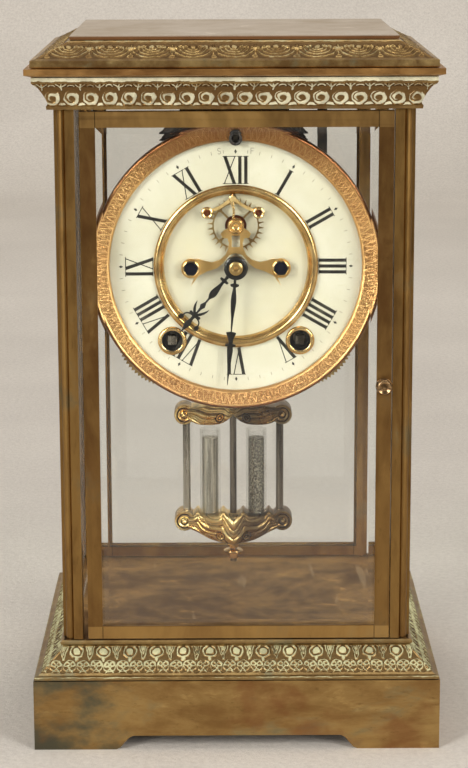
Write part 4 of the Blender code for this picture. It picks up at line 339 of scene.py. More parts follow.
def moulding(name, outline, back, ornament, pitch, start, steps, finish, node):
    """A moulding round the case in four mitred lengths. The outline is (half width,
    height) up its outer side, cut into short steps; back is its inner side, going down. A
    point at share u of a side's half length keeps that share at every height, so the ends
    are mitres. The case is less deep than wide, by the narrowing on each side.
    ornament(along, up, pitch) gives how far the surface stands out square to the outline, how
    raised it looks, which its finish paints as shade in the hollows, and how much bloom lies
    on it, for a motif centred at along 0.
    Motifs are a pitch apart, from start pitches beside the middle, and two small sine
    waves keep them from being all alike."""
    outline, back = np.array(outline), np.array(back)
    way = np.r_[0.0, np.cumsum(np.hypot(*np.diff(outline, axis=0).T))]
    up = np.union1d(np.arange(0.0, way[-1], steps[1]), way)
    wide, high = np.interp(up, way, outline[:, 0]), np.interp(up, way, outline[:, 1])
    lean_w, lean_z = np.gradient(wide, up), np.gradient(high, up)
    size = np.hypot(lean_w, lean_z)
    out_w, out_z = lean_z / size, -lean_w / size
    middle = np.interp(way[-1] * 0.5, way, outline[:, 0])
    for side, word in enumerate(("front", "right", "rear", "left")):
        less = case_narrowing * (side % 2)
        columns = int(2 * (middle - less) / steps[0])
        share = np.linspace(-1.0, 1.0, columns)[:, None]
        reach = wide[None, :] - less
        place = share * reach
        wave = place + 0.16 * np.sin(0.9 * place + up) + 0.10 * np.sin(2.3 * place - 1.7 * up)
        tall = up[None, :] + 0.14 * np.sin(0.7 * place + side) + 0.09 * np.sin(1.9 * place)
        spot = wave / pitch + start
        height, raised, bloom = ornament((spot - np.round(spot)) * pitch, tall, pitch)
        fade = rise(reach - np.abs(place), 0.0, 1.0)
        w, z = wide[None, :] + height * fade * out_w, high[None, :] + height * fade * out_z
        w = np.hstack([w, np.broadcast_to(back[:, 0], (columns, len(back)))])
        z = np.hstack([z, np.broadcast_to(back[:, 1], (columns, len(back)))])
        along = share * (np.r_[wide, back[:, 0]][None, :] - less)
        off = w - (case_narrowing - less)
        x, y = ((along, -off), (off, along), (-along, off), (-off, -along))[side]
        mesh = skin([(np.stack(np.broadcast_arrays(x, y, z), -1), False)], name)
        for key, value in (("raised", raised), ("bloom", bloom)):
            value = np.broadcast_to(value, (columns, len(up)))
            paint(mesh, key, np.hstack([value, np.zeros((columns, len(back)))]))
        add(name + "_" + word, mesh, finish, "case", node, 50.0)


def bloomed_brass(name, gold, brown, pale, hollow):
    """Old cast brass: its own raised attribute turns it from dark brown in the hollows, a
    share of the brown, to gold on the ridges; the brown in the hollows is painted shade as
    well as tarnish. A dull pale bloom lies where its bloom attribute is high."""
    made = old_brass(name, gold, brown, (0.22, 0.21, 0.13), 40.0)
    patches = made.noise(90.0, detail=5.0, roughness=0.65)
    fine = made.noise(700.0, detail=3.0)
    large = made.noise(26.0)
    # Painted shade: the hollows are darkened towards brown, along with their tarnish.
    low = made.step(made.painted("raised") + (fine - 0.5) * 0.4, 0.12, 0.62)
    metal = made.mix(low, scaled(brown, hollow), made.base())
    ragged = (patches - 0.5) * 1.1 + (fine - 0.5) * 0.7 + (large - 0.5) * 0.8
    cover = made.step(made.painted("bloom") + ragged, 0.32, 0.80)
    stain = made.mix(made.step(patches, 0.35, 0.65), scaled(pale, 0.60), pale)
    made.feed("Base Color", made.mix(cover, metal, stain))
    made.feed("Metallic", 1.0 - cover * 0.95)
    made.feed("Roughness", 0.36 + cover * 0.45)
    made.bump(fine, 0.00008)
    return made


def roundels(along, up, pitch):
    """A disc in a ring on a knobbed stalk, nested darts between, and small arches over
    hearts on crossed hooks underneath: each is a bell across a circle's or a straight
    line's distance."""
    inside = rise(up, 3.7, 4.1) * (1.0 - rise(up, 15.5, 15.9))
    radius = np.hypot(along, up - 13.4)
    line = 1.0 - rise(radius, 1.25, 1.7) + ridge(radius - 2.55, 0.28)
    line = line + ridge(along, 0.34) * rise(up, 8.7, 9.1) * (1.0 - rise(up, 10.6, 10.9))
    line = line + 1.0 - rise(np.hypot(along, up - 10.0), 0.5, 0.9)
    gap = pitch / 2 - np.abs(along)
    for foot, lean in ((9.4, 0.29), (11.6, 0.24), (13.6, 0.16)):
        line = line + ridge(gap - lean * (up - foot), 0.21) * rise(up, foot, foot + 0.4)
    near = np.abs(np.abs(along) - pitch / 4)
    line = line + ridge(np.hypot(near - 1.15, up - 7.7) - 0.85, 0.27)
    line = line + ridge(near - 0.75 * np.abs(up - 5.9), 0.25) * (1.0 - rise(up, 6.9, 7.3))
    line = line + 0.8 * ridge(np.hypot(near, up - 7.0) - 2.4, 0.18)
    line = np.clip(line, 0.0, 1.0) * inside
    # Painted highlight: a pale line along the bead, carried in the bloom.
    bead_highlight = ridge(up - 1.1, 0.35)
    return 0.50 * line - 0.30 * inside, line + 0.75 * (1.0 - inside), 0.98 * line + 0.6 * bead_highlight


base_brass = bloomed_brass("base_moulding_brass", (0.40, 0.27, 0.11), (0.24, 0.15, 0.06),
                           tint(198, 194, 150), 0.75)
moulding("base_moulding_cast", [(80.0, 28.75), (80.0, 29.75), (79.8, 29.95), (78.5, 30.3),
                                (77.7, 30.9), (69.1, 39.2), (69.3, 39.9), (70.0, 40.4),
                                (70.1, 41.3), (69.5, 41.9)],
         [(68.3, 41.9), (68.3, 39.5), (62.0, 39.5), (62.0, 28.75)], roundels, 10.6, 0.0,
         (0.25, 0.24), base_brass, "base_moulding")

# The floor plate is a plain brass sheet, darkened to brown, that lies on the base moulding
# between the pillars. A few drawn lines catch the light. The ceiling plate is its twin.
floor_brass = old_brass("floor_plate_brass", (0.42, 0.245, 0.090), (0.14, 0.070, 0.026),
                        (0.22, 0.14, 0.07), 14.0, wear=0.8, rough=0.66)
drawn = floor_brass.noise(260.0, (0.6, 0.05, 1.0), 2.0, 0.5, 0.3)
floor_brass.over(floor_brass.step(drawn, 0.64, 0.72) * 0.4, (0.55, 0.40, 0.24))
dress(floor_brass, "floor_plate", "top_plate")

# The corner pillars are drawn brass bars between the base and the ceiling. Each has a bead
# down its outer corner, and a deep quirk on each side of it.
pillar_brass = old_brass("pillar_brass", (0.305, 0.176, 0.055), (0.160, 0.081, 0.026),
                         (0.15, 0.125, 0.07), 26.0, (1.0, 1.0, 0.22))
dress(pillar_brass, "pillar_front_left", "pillar_front_right", "pillar_rear_left",
      "pillar_rear_right")

# The cornice is cast like the base, with a running row of scrolled rosettes under small
# paired leaves, and a plain fillet above on which the bloom lies thick.


def rosettes(along, up, pitch):
    """A pale disc in a dark ring. A comma starts at its middle, and its tail spirals out: a
    bell across radius minus a line rising with the angle. Forked leaves stand between."""
    inside = rise(up, 1.7, 2.0) * (1.0 - rise(up, 12.0, 12.3))
    rising = up - 4.9
    radius = np.hypot(along, rising)
    angle = (np.arctan2(rising, along) - 0.9) % (2 * math.pi)
    disc = 1.0 - rise(radius, 2.90, 3.10)
    comma = 1.0 - rise(radius, 0.75, 1.45)
    tail = ridge(radius - 0.8 - 0.34 * (2 * math.pi - angle), 0.36)
    comma = np.clip(comma + tail, 0.0, 1.0)
    ring = ridge(radius - 3.35, 0.24)
    gap = pitch / 2 - np.abs(along)
    stem = ridge(gap, 0.30) * rise(up, 8.0, 8.5)
    fork = ridge(gap - 0.75 * (up - 9.6), 0.30) * rise(up, 9.4, 9.9)
    crown = ridge(np.hypot(along, up - 10.3) - 1.3, 0.28) * rise(up, 10.0, 10.6)
    leaf = np.clip(stem + fork + crown, 0.0, 1.0) * rise(radius, 3.4, 3.8)
    foot = (1.0 - rise(up, 2.5, 3.1)) * rise(radius, 3.3, 3.7)
    bloom = 0.86 * disc * (1.0 - comma) + 0.95 * leaf + 0.8 * foot
    raised = disc * (1.0 - 0.8 * comma) + leaf + foot - ring
    fillet = rise(up, 13.1, 13.3)
    return (0.45 * (disc * (1.0 - 0.7 * comma) + leaf) - 0.30) * inside, \
        raised * inside + 0.7 * (1.0 - inside), bloom * inside + 0.95 * fillet


cornice_brass = bloomed_brass("cornice_brass", (0.42, 0.28, 0.11), (0.24, 0.14, 0.055),
                              tint(214, 208, 176), 0.85)
moulding("cornice_cast", [(71.2, 252.9), (71.4, 254.1), (70.7, 254.9), (71.0, 255.9),
                          (72.4, 258.7), (74.2, 261.4), (76.1, 262.8), (76.5, 263.4),
                          (76.5, 265.3)],
         [(68.3, 265.3), (68.3, 252.9)], rosettes, 7.25, 0.5, (0.22, 0.22), cornice_brass,
         "cornice_moulding")

# A plain brass slab overhangs the cornice. The cast cap slopes up from it, with a row of
# shells on its slope.
slab_brass = old_brass("cap_slab_brass", (0.52, 0.285, 0.095), (0.30, 0.140, 0.045),
                       (0.20, 0.16, 0.09), 30.0, (0.4, 0.4, 1.0))
dress(slab_brass, "cap_slab")


def shells(along, up, pitch):
    """Thin half rings open upwards round a boss, each curling over at its ends, with a dart
    between: a bell across radius minus each ring's own radius."""
    inside = rise(up, 5.0, 5.4) * (1.0 - rise(up, 16.7, 17.1))
    rising = up - 13.6
    radius = np.hypot(along, rising)
    angle = np.abs(np.arctan2(along, -rising))
    line = 1.0 - rise(radius, 0.9, 1.3)
    for reach, end in ((2.1, 1.9), (3.6, 1.7), (5.3, 1.6), (7.4, 1.45)):
        line = line + ridge(radius - reach, 0.30) * (1.0 - rise(angle, end, end + 0.15))
        tip = np.hypot(np.abs(along) - (reach - 0.75) * math.sin(end),
                       rising + (reach - 0.75) * math.cos(end))
        line = line + ridge(tip - 0.55, 0.22) * (reach > 3.0)
    gap = pitch / 2 - np.abs(along)
    line = line + 0.9 * ridge(gap, 0.28) * rise(up, 8.2, 9.0) * (1.0 - rise(up, 14.8, 15.6))
    line = line + 0.7 * ridge(np.hypot(gap - 0.2, up - 6.9) - 0.75, 0.25)
    line = np.clip(line, 0.0, 1.1)
    salt = rise(up, 17.0, 17.3)
    plain = (1.0 - rise(up, 4.9, 5.3)) + salt
    return (0.46 * line - 0.28) * inside, line * inside + 0.6 * plain, \
        (0.36 * line + 0.06) * inside + 0.50 * salt


cap_brass = bloomed_brass("cap_brass", (0.58, 0.40, 0.16), (0.26, 0.150, 0.055),
                          tint(178, 166, 124), 0.62)
moulding("cap_cast", [(76.6, 268.9), (76.8, 269.2), (76.8, 271.6), (74.8, 272.2),
                      (69.8, 274.5), (63.4, 277.9), (63.0, 278.2)],
         [(56.4, 278.2), (56.4, 268.9)], shells, 15.65, 0.0, (0.25, 0.24), cap_brass,
         "cap_moulding")

# The flat panel on top is a matt brass sheet, painted pale as a painted reflection of the
# pale backdrop. It lies in the cap, and its edge is painted brown, without that painted
# reflection.
# Painted reflection: these pale colours stand in for the backdrop mirrored in the panel.
panel_brass = old_brass("top_panel_brass", (0.53, 0.46, 0.38), (0.43, 0.355, 0.27),
                        (0.45, 0.42, 0.355), 12.0, rough=0.84)
_, _, up = panel_brass.axes()
panel_brass.over(1.0 - panel_brass.step(up, 0.2794, 0.2799), (0.24, 0.12, 0.05))
dress(panel_brass, "top_panel")

# The four panes are thick plate glass with a wide ground bevel all round the outer face,
# held in the doors and between the pillars. They let the lamps' light straight through.
pane_glass = Finish("plate_glass", 0.0, 0.0, base_color=(0.97, 0.985, 0.975, 1.0),
                    transmission_weight=1.0)
pane_glass.shader.inputs["IOR"].default_value = 1.46
pane_glass.shader.inputs["Specular IOR Level"].default_value = 0.12
smears = pane_glass.noise(16.0, detail=5.0)
pane_glass.feed("Roughness", 0.02 * pane_glass.step(smears, 0.5, 0.8))
solid = Value(pane_glass, pane_glass.shader.outputs[0])
clear = pane_glass.node("BsdfTransparent", {}, {"Color": (0.92, 0.94, 0.92, 1.0)})
in_shadow = pane_glass.node("LightPath", {}, {}, 1)
either = pane_glass.node("MixShader", {}, {0: in_shadow, 1: solid, 2: clear})
pane_glass.tree.links.new(either.socket,
                          pane_glass.tree.nodes["Material Output"].inputs["Surface"])
dress(pane_glass, "side_glass_left", "side_glass_right", "front_door_glass",
      "rear_door_glass")

# Each door's frame is four flat brass bars. The rails butt against the stiles, and a dark
# line shows at each joint.


def door_brass(name, rail_ends, rails):
    """The bars' brass, streaked along each bar, with a dark line across the frame at each
    end of both rails, which have a colour of their own."""
    made = old_brass(name, (0.352, 0.204, 0.064), (0.180, 0.090, 0.029), (0.17, 0.13, 0.070),
                     24.0, (0.8, 0.8, 0.3))
    x, _, z = made.axes()
    opening_low, opening_high = 0.0473, 0.2458
    middle, half = (opening_low + opening_high) / 2, (opening_high - opening_low) / 2
    rail = made.step(abs(z - middle), half - 0.0002, half + 0.0001)
    seam = sum(1.0 - made.step(abs(x - end), 0.00008, 0.00022) for end in rail_ends)
    upright = made.noise(300.0, (1.0, 1.0, 0.02), 2.0, 0.5)
    level = made.noise(300.0, (0.02, 1.0, 1.0), 2.0, 0.5)
    streaks = upright * (1.0 - rail) + level * rail
    made.feed("Base Color", made.mix(rail, made.mix(0.30, made.base(), (0.10, 0.045, 0.018)),
                                     made.mix(0.30, made.base(), rails)))
    made.over(made.step(streaks, 0.55, 0.75) * 0.5, (0.10, 0.05, 0.02))
    made.over(seam * rail * 0.85, (0.03, 0.02, 0.012))
    return made


dress(door_brass("front_door_brass", (-0.05315, 0.05485), (0.62, 0.38, 0.13)),
      "front_door_frame")
dress(door_brass("rear_door_brass", (-0.05485, 0.05315), (0.06, 0.025, 0.008)),
      "rear_door_frame")

# A small turned brass knob with a ball end goes through each door's stile, and turns a
# flat latch cam behind the pillar's edge.


def turned(profile, centre, sides=64, axis="y"):
    """A profile of (radius, forward) turned round an axis through the centre: a point is
    radius * (cos, sin) of the angle. Forward is towards -Y, or up for a z axis."""
    profile = np.array(profile)
    angle = np.linspace(0.0, 2 * math.pi, sides, endpoint=False)[:, None]
    radius, forward = profile[None, :, 0], profile[None, :, 1]
    a, b = radius * np.cos(angle), radius * np.sin(angle)
    if axis == "y":
        parts = a + centre[0], centre[1] - forward, b + centre[2]
    else:
        parts = a + centre[0], b + centre[1], centre[2] + forward
    return np.stack(np.broadcast_arrays(*parts), -1), True


knob_brass = old_brass("knob_brass", (0.46, 0.30, 0.15), (0.20, 0.12, 0.06),
                       (0.25, 0.22, 0.15), 60.0, rough=0.22)
knob_at = (57.75, 0.0, 145.0)
knob_outline = [(0.02, 63.35), (0.75, 63.3), (0.95, 62.95), (1.35, 62.9), (2.0, 63.35),
                (2.45, 63.6), (2.9, 63.35), (3.2, 62.7), (3.05, 61.9), (2.5, 61.4),
                (2.4, 61.1), (3.2, 60.9), (3.3, 60.65), (3.3, 60.4), (0.9, 60.4),
                (0.9, 55.0), (0.02, 55.0)]
cam = np.array([[[x, y, z] for x, z in ((-1.1, -1.1), (2.5, -1.1), (2.5, 1.1), (-1.1, 1.1))]
                for y in (-54.4, -55.2)])
rings, _ = turned(knob_outline, knob_at, 40)
for end, way in (("front", 1), ("rear", -1)):
    half_turn = np.array([way, way, 1.0])
    parts = [(rings * half_turn, True), ((cam + knob_at) * half_turn, False)]
    add(end + "_knob_turned", parts, knob_brass, end + "_door_knob",
        end + "_door_knob")

# Behind the dial are the plates, wheels and barrels of the movement, in cleaner brass. Its
# arbors and the hammer are polished steel.
clock_brass = old_brass("movement_brass", (0.55, 0.38, 0.15), (0.42, 0.27, 0.10),
                        (0.34, 0.29, 0.17), 60.0, wear=0.3, rough=0.30)
dress(clock_brass, "front_plate", "back_plate", "time_barrel", "strike_barrel",
      "second_wheel", "centre_wheel", "third_wheel", "strike_pin_wheel",
      "suspension_cock", "dial_pan")


def mottled(name, metallic, rough, dark, light, scale, detail=4.0,
            stretch=(1.0, 1.0, 1.0), span=(), drift=0.0, **others):
    """A finish whose colour goes from dark to light with a noise, smoothly over its span
    or evenly. Its roughness grows by the drift with the same noise."""
    made = Finish(name, metallic, rough, **others)
    spots = made.noise(scale, stretch, detail)
    share = made.step(spots, *span) if span else spots
    made.feed("Base Color", made.mix(share, dark, light))
    if drift:
        made.feed("Roughness", rough + drift * spots)
    return made


steel = mottled("polished_steel", 1.0, 0.16, (0.07, 0.058, 0.042), (0.42, 0.38, 0.31), 300.0,
                3.0, (1.0, 1.0, 0.05), (0.35, 0.65), 0.2)
dress(steel, "time_winding_arbor", "strike_winding_arbor", "hammer", "regulator_arbor")

# The movement hangs from a bracket of black iron whose end shows above the bezel. The
# gong's post is the same iron.
iron = mottled("black_iron", 0.3, 0.4, (0.014, 0.012, 0.011), (0.055, 0.036, 0.022), 220.0,
               span=(0.4, 0.75), drift=0.35)
iron.bump(iron.noise(220.0), 0.00015)
dress(iron, "movement_hanger", "gong_post")
foot_outline = np.array([(-29.4, 238.7), (-24.6, 242.3), (-20.5, 252.5), (20.5, 252.5),
                         (24.0, 242.3), (28.6, 238.7), (19.0, 237.4), (0.0, 239.0),
                         (-19.0, 237.4)])
hanger_foot = np.stack([np.insert(foot_outline, 1, y, axis=1) for y in (-36.6, -39.2)])
add("hanger_foot", [(hanger_foot, False)], iron, "case", sharp=30.0)

# The gong is a long steel wire wound flat and blued. Its inner end is held by the block on
# the gong's post.
blued = mottled("blued_steel", 1.0, 0.25, (0.03, 0.035, 0.06), (0.09, 0.09, 0.13), 90.0, 2.0)
dress(blued, "gong_coil")

# The dial's outer ring is white porcelain fired on copper, very slightly domed, and a
# little yellowed. A winding hole comes through it on each side.
dial = np.array([0.3, 0.0, 190.74])
winding = {"left": (-25.0, -29.3), "right": (25.0, -29.3)}
key_hole = (0.0, 50.0, 2.3)


def dome(radius):
    """How far in front of the case's middle the porcelain lies, at a radius: highest
    half way across the ring, and lower by the square of the distance from there."""
    return 49.42 - 0.45 * ((radius - 40.0) / 10.0) ** 2


def pierce(mesh, holes):
    """The mesh with round holes through it, front to back, each (across, up, radius)."""
    rods = [turned([(0.01, 40.0), (r, 40.0), (r, 60.0), (0.01, 60.0)],
                   dial + [x, 0.0, y], 40) for x, y, r in holes]
    cutter, base = put("cutter", skin(rods, "cutter")), put("base", mesh)
    cut = base.modifiers.new("cut", "BOOLEAN")
    cut.operation, cut.solver, cut.object = "DIFFERENCE", "EXACT", cutter
    ready = base.evaluated_get(bpy.context.evaluated_depsgraph_get())
    pierced = bpy.data.meshes.new_from_object(ready)
    for made in (cutter, base):
        bpy.data.objects.remove(made, do_unlink=True)
    return pierced


def porcelain(name, warm):
    """Glazed white porcelain with faint clouds of yellow and grey under the gloss."""
    made = Finish(name, 0.0, 0.12, coat_weight=0.6, coat_roughness=0.04)
    cloudy = made.noise(45.0, roughness=0.6)
    dusty = made.noise(380.0, detail=3.0)
    made.feed("Base Color", made.mix(made.step(cloudy, 0.35, 0.7), tint(189, 183, 161), warm))
    made.over(made.step(dusty, 0.62, 0.8) * 0.25, tint(158, 148, 114))
    made.feed("Roughness", 0.10 + 0.12 * cloudy)
    return made


white = porcelain("chapter_porcelain", tint(197, 192, 173))
chapter_inner, chapter_outer, chapter_back, hole_radius = 30.95, 50.85, 47.8, 4.75
outline = [(r, dome(r)) for r in np.linspace(chapter_inner, chapter_outer, 30)]
outline += [(chapter_outer, chapter_back), (chapter_inner, chapter_back)]
chapter = pierce(skin([turned(outline, dial, 240)], "chapter"),
                 [(x, y, hole_radius) for x, y in winding.values()] + [key_hole])
add("chapter_ring_glazed", chapter, white, "case", "chapter_ring", 35.0)

# The hours are painted in black as Roman numerals, feet inwards, with a diamond outside
# each and faint ticks for the minutes. The regulator's two letters stand at the top.


def stroke(path, width, lift, crown, thick):
    """A flat band along a path: each point of the path gives a row across it, as wide as
    the width there. The row's face is raised by the crown in its middle, and its edges
    and back close it. Points are (across, up) on the dial, and lift is in front of it."""
    path = np.array(path, float)
    width = np.broadcast_to(np.array(width, float), (len(path),))
    onward = np.gradient(path, axis=0)
    onward /= np.maximum(np.hypot(onward[:, 0], onward[:, 1]), 1e-9)[:, None]
    side = np.stack([-onward[:, 1], onward[:, 0]], -1)
    share = np.array([-1.0, -0.5, 0.0, 0.5, 1.0, 1.0, -1.0])
    front = np.array([1.0, 1.0, 1.0, 1.0, 1.0, 0.0, 0.0])
    reach = (width[:, None] / 2) * share
    flat = path[:, None, :] + side[:, None, :] * reach[:, :, None]
    raised = lift + front * thick + crown * front * (1.0 - share ** 2)
    raised = np.broadcast_to(raised[None, :], flat.shape[:2])
    return np.concatenate([flat, raised[:, :, None]], -1)


def turned_to(path, degrees):
    """A path drawn for twelve o'clock, turned clockwise about the dial's centre."""
    angle = math.radians(degrees)
    across, up = np.array(path, float).T
    return np.stack([across * math.cos(angle) + up * math.sin(angle),
                     up * math.cos(angle) - across * math.sin(angle)], -1)


def straight(start, end, steps=10):
    """Points along a straight line."""
    share = np.linspace(0.0, 1.0, steps)[:, None]
    return np.array(start) * (1 - share) + np.array(end) * share


def on_ring(path, degrees, width, lift, thick):
    """A painted line, laid on the porcelain ring's dome."""
    grid = stroke(turned_to(path, degrees), width, lift, 0.0, thick)
    radius = np.hypot(grid[..., 0], grid[..., 1])
    return np.stack([dial[0] + grid[..., 0], -(dome(radius) + grid[..., 2]),
                     dial[2] + grid[..., 1]], -1), False


low, high, thick, thin, serif = 32.3, 42.9, 1.30, 0.38, 0.3
letters = {"I": 2.3, "V": 5.4, "X": 5.6}
tall = np.linspace(-1.0, 1.0, 9)
diamond = np.stack([0 * tall, 44.75 + 0.85 * tall], -1)
marks = []
for hour, word in enumerate(("XII", "I", "II", "III", "IIII", "V", "VI", "VII", "VIII",
                             "IX", "X", "XI")):
    at = -sum(letters[c] for c in word) / 2
    for letter in word:
        wide = letters[letter]
        inner, outer, mid = at + 0.55, at + wide - 0.55, at + wide / 2
        if letter == "I":
            lines = [((mid, low), (mid, high), thick)]
        elif letter == "V":
            lines = [((mid + 0.1, low), (inner + 0.35, high), thick),
                     ((mid - 0.1, low), (outer - 0.1, high), thin)]
        else:
            lines = [((outer - 0.45, low), (inner + 0.45, high), thick),
                     ((inner + 0.2, low), (outer - 0.2, high), thin)]
        for start, end, width in lines:
            marks.append(on_ring(straight(start, end), 30 * hour, width, 0.005, 0.03))
        for up in (high,) if letter == "V" else (low, high):
            foot = straight((at + 0.1, up), (at + wide - 0.1, up))
            marks.append(on_ring(foot, 30 * hour, serif, 0.004, 0.03))
        at += wide
    marks.append(on_ring(diamond, 30 * hour, 1.0 * (1 - np.abs(tall)) + 0.05, 0.005, 0.03))
# This black enamel also colours the winding wells, as painted shade.
enamel_and_shade = mottled("black_enamel_and_shade", 0.0, 0.28, (0.014, 0.012, 0.009), (0.050, 0.044, 0.032),
                 160.0, span=(0.5, 0.8), coat_weight=0.3)
add("numerals", marks, enamel_and_shade, "case", sharp=30.0)

tick = straight((0.0, 44.2), (0.0, 45.5), 3)
ticks = [on_ring(tick, 6 * minute, 0.24, 0.004, 0.02) for minute in range(60) if minute % 5]
part = np.linspace(0.0, 1.0, 25)
bowl = np.where(part < 0.5, 0.56, -0.56)
sweep = np.where(part < 0.5, np.interp(part, [0, 0.5], [40, 270]),
                 np.interp(part, [0.5, 1], [90, -140])) * math.pi / 180
letter_s = np.stack([-6.3 + 0.6 * np.cos(sweep), 44.9 + bowl + 0.56 * np.sin(sweep)], -1)
letter_f = [straight(start, end, 4) for start, end in
            (((5.9, 43.8), (5.9, 46.1)), ((5.9, 46.0), (7.2, 46.0)),
             ((5.9, 45.0), (6.9, 45.0)))]
ticks += [on_ring(path, 0, 0.26, 0.004, 0.02) for path in (letter_s, *letter_f)]
faded = mottled("faded_enamel", 0.0, 0.4, (0.07, 0.065, 0.05), (0.34, 0.31, 0.24), 70.0, 3.0)
add("minute_ticks", ticks, faded, "case", sharp=30.0)

# The dial's middle is a recessed disc of the same porcelain, warmer and more stained. It
# stands a little behind the ring, so that the escapement has room in front of it.
dress(porcelain("centre_porcelain", tint(189, 182, 155)), "dial_centre")

# A polished brass ring covers the edge of the porcelain ring, and steps down to the
# recess. It is turned from one piece.
gilt = mottled("gilt_brass", 1.0, 0.14, (0.56, 0.34, 0.12), (0.84, 0.60, 0.27), 120.0,
               span=(0.35, 0.7), drift=0.2)
sight_outline = [(31.9, 49.6), (32.0, 50.0), (31.7, 50.5), (31.1, 50.85), (30.4, 50.95),
                 (29.8, 50.8), (29.4, 50.4), (29.2, 49.8), (28.8, 49.5), (28.4, 49.1),
                 (28.1, 48.0), (27.95, 46.9), (30.3, 46.9), (30.4, 49.6)]
add("sight_ring_turned", [turned(sight_outline, dial, 240)], gilt, "case",
    "sight_ring")

# The bezel is a copper-toned gilt ring that holds the dial to its pan. Its outer rim is
# plain, and its sloping band is engraved all round with a zigzag line between hatchings. Its
# top and bottom are painted darker, as painted shade, and the engraving's grooves are painted
# dark, as painted shade.
band_low, band_high, zigzags = 49.9, 54.5, 132


def engraved(grid):
    """Works the zigzag into the bezel's points, and gives how deep each looks, which the
    bezel's finish paints as shade in the grooves. Round the ring, a triangle wave swings from
    the band's inner edge to its outer one. Hatching, a cosine of angle and radius, leans one
    way inside the wave and the other way outside it, and the line between them, a bell across
    the distance from the wave, stands up."""
    across, up = grid[..., 0] - dial[0], grid[..., 2] - dial[2]
    radius, angle = np.hypot(across, up), np.arctan2(across, up)
    spot = angle / (2 * math.pi) * zigzags
    wave = np.abs((spot % 1.0) * 2 - 1)
    share = (radius - band_low) / (band_high - band_low)
    side = share - wave
    hatch = np.where(side > 0, np.cos(2 * math.pi * (spot * 4 + share * 3)),
                     np.cos(2 * math.pi * (spot * 4 - share * 4)))
    within = rise(share, 0.0, 0.06) * (1 - rise(share, 0.94, 1.0)) * (grid[..., 1] < -50.0)
    line = ridge(side, 0.13)
    grid[..., 1] -= within * (0.035 * hatch * (1.0 - line) + 0.06 * line)
    return np.clip(0.55 - 0.45 * hatch * (1.0 - line) - 0.55 * line, 0.0, 1.0) * within


bezel_outline = [(49.04, 49.72), (49.04, 50.6), (49.2, 51.2), (49.6, 51.6)]
bezel_outline += [(band_low + (band_high - band_low) * s, 51.75 + 0.75 * s)
                  for s in np.linspace(0.0, 1.0, 24)]
bezel_outline += [(54.7, 52.7), (55.1, 52.8), (55.6, 52.65), (55.95, 52.2), (56.1, 51.6),
                  (56.1, 47.8), (51.2, 47.8), (51.2, 49.72)]
bezel_rings, _ = turned(bezel_outline, dial, 2200)
sunk_shade = engraved(bezel_rings)
bezel = skin([(bezel_rings, True)], "bezel")
paint(bezel, "sunk_shade", sunk_shade)
copper = Finish("copper_gilt", 1.0, 0.28)
warmth = copper.noise(35.0, detail=3.0)
wear = copper.noise(500.0, detail=3.0)
stipple = copper.noise(1700.0, detail=2.0)
_, _, up = copper.axes()
# Painted shade: the bezel's top and bottom are darkened.
top_bottom_shade = 0.45 * (1.0 - copper.step(up, 0.145, 0.165)) + 0.75 * copper.step(up, 0.222, 0.238)
# Painted shade: the engraving's grooves are painted dark.
grooves = copper.step(copper.painted("sunk_shade") + (stipple - 0.5) * 2.0, 0.15, 0.75)
copper.feed("Base Color", copper.mix(copper.step(warmth, 0.35, 0.65), (0.68, 0.38, 0.14),
                                     (0.82, 0.51, 0.205)))
copper.over(top_bottom_shade, (0.27, 0.12, 0.042))
copper.over(grooves * 0.9, (0.26, 0.105, 0.032))
copper.over(copper.step(copper.way_from(dial), 0.0545, 0.0552) * 0.85, (0.22, 0.080, 0.030))
copper.feed("Roughness", 0.22 + 0.2 * wear)
copper.bump(wear * 0.4 + stipple * 0.6, 0.0004)
add("bezel_engraved", pierce(bezel, [key_hole]), copper, "case", "bezel",
    50.0)

# A short black tube lines the hole at the top of the bezel, where a small key reaches the
# regulator's arbor.
tube_outline = [(1.5, 53.3), (2.0, 53.6), (2.5, 53.4), (2.62, 53.0), (2.6, 49.6),
                (2.25, 49.6), (2.25, 48.2), (1.5, 48.2)]
add("regulator_tube", [turned(tube_outline, dial + [0.0, 0.0, key_hole[1]], 40)], iron,
    "case")

# The winding holes are bushed with turned brass grommets round the squares of the arbors.
# Behind each, a tube runs back to a washer round the square, both black as painted shade for
# the dark inside of the hole.
grommet = [(4.15, 50.35), (4.5, 50.55), (5.0, 50.5), (5.5, 50.1), (5.65, 49.7),
           (4.68, 49.7), (4.68, 47.9), (4.15, 47.9)]
for word, (x, y) in winding.items():
    add("grommet_turned_" + word, [turned(grommet, dial + [x, 0.0, y])], gilt, "case",
        "winding_grommet_" + word)
# Painted shade: the tubes behind the winding holes are black.
well = [(3.95, 50.0), (4.14, 50.0), (4.14, 43.2), (2.5, 43.2), (2.5, 43.4), (3.95, 43.4)]
for word, (x, y) in winding.items():
    add("winding_well_" + word, [turned(well, dial + [x, 0.0, y])], enamel_and_shade, "case")

# The escapement stands in front of the recess. Its gilt bridge carries the escape wheel's
# front pivot in a raised collar, and is held by two blued screws in brass seats.
bridge_gilt = mottled("bridge_gilt", 1.0, 0.22, (0.64, 0.39, 0.12), (0.94, 0.61, 0.23),
                      240.0, 3.0, (1.0, 1.0, 0.15), drift=0.2)
dress(bridge_gilt, "escapement_bridge")
screw_blue = mottled("screw_blue", 0.9, 0.22, (0.006, 0.007, 0.012), (0.035, 0.04, 0.07),
                     300.0, 3.0)
dress(screw_blue, "bridge_screw_left", "bridge_screw_right")
seat = [(2.45, 50.0), (2.55, 50.35), (2.9, 50.5), (3.3, 50.35), (3.5, 50.0), (3.5, 49.4),
        (2.45, 49.4)]
for word, across in (("left", -17.5), ("right", 17.5)):
    add("bridge_seat_" + word, [turned(seat, dial + [across, 0.0, -0.7], 48)], gilt, "case")
hub = dial + [0.0, 0.0, 15.86]
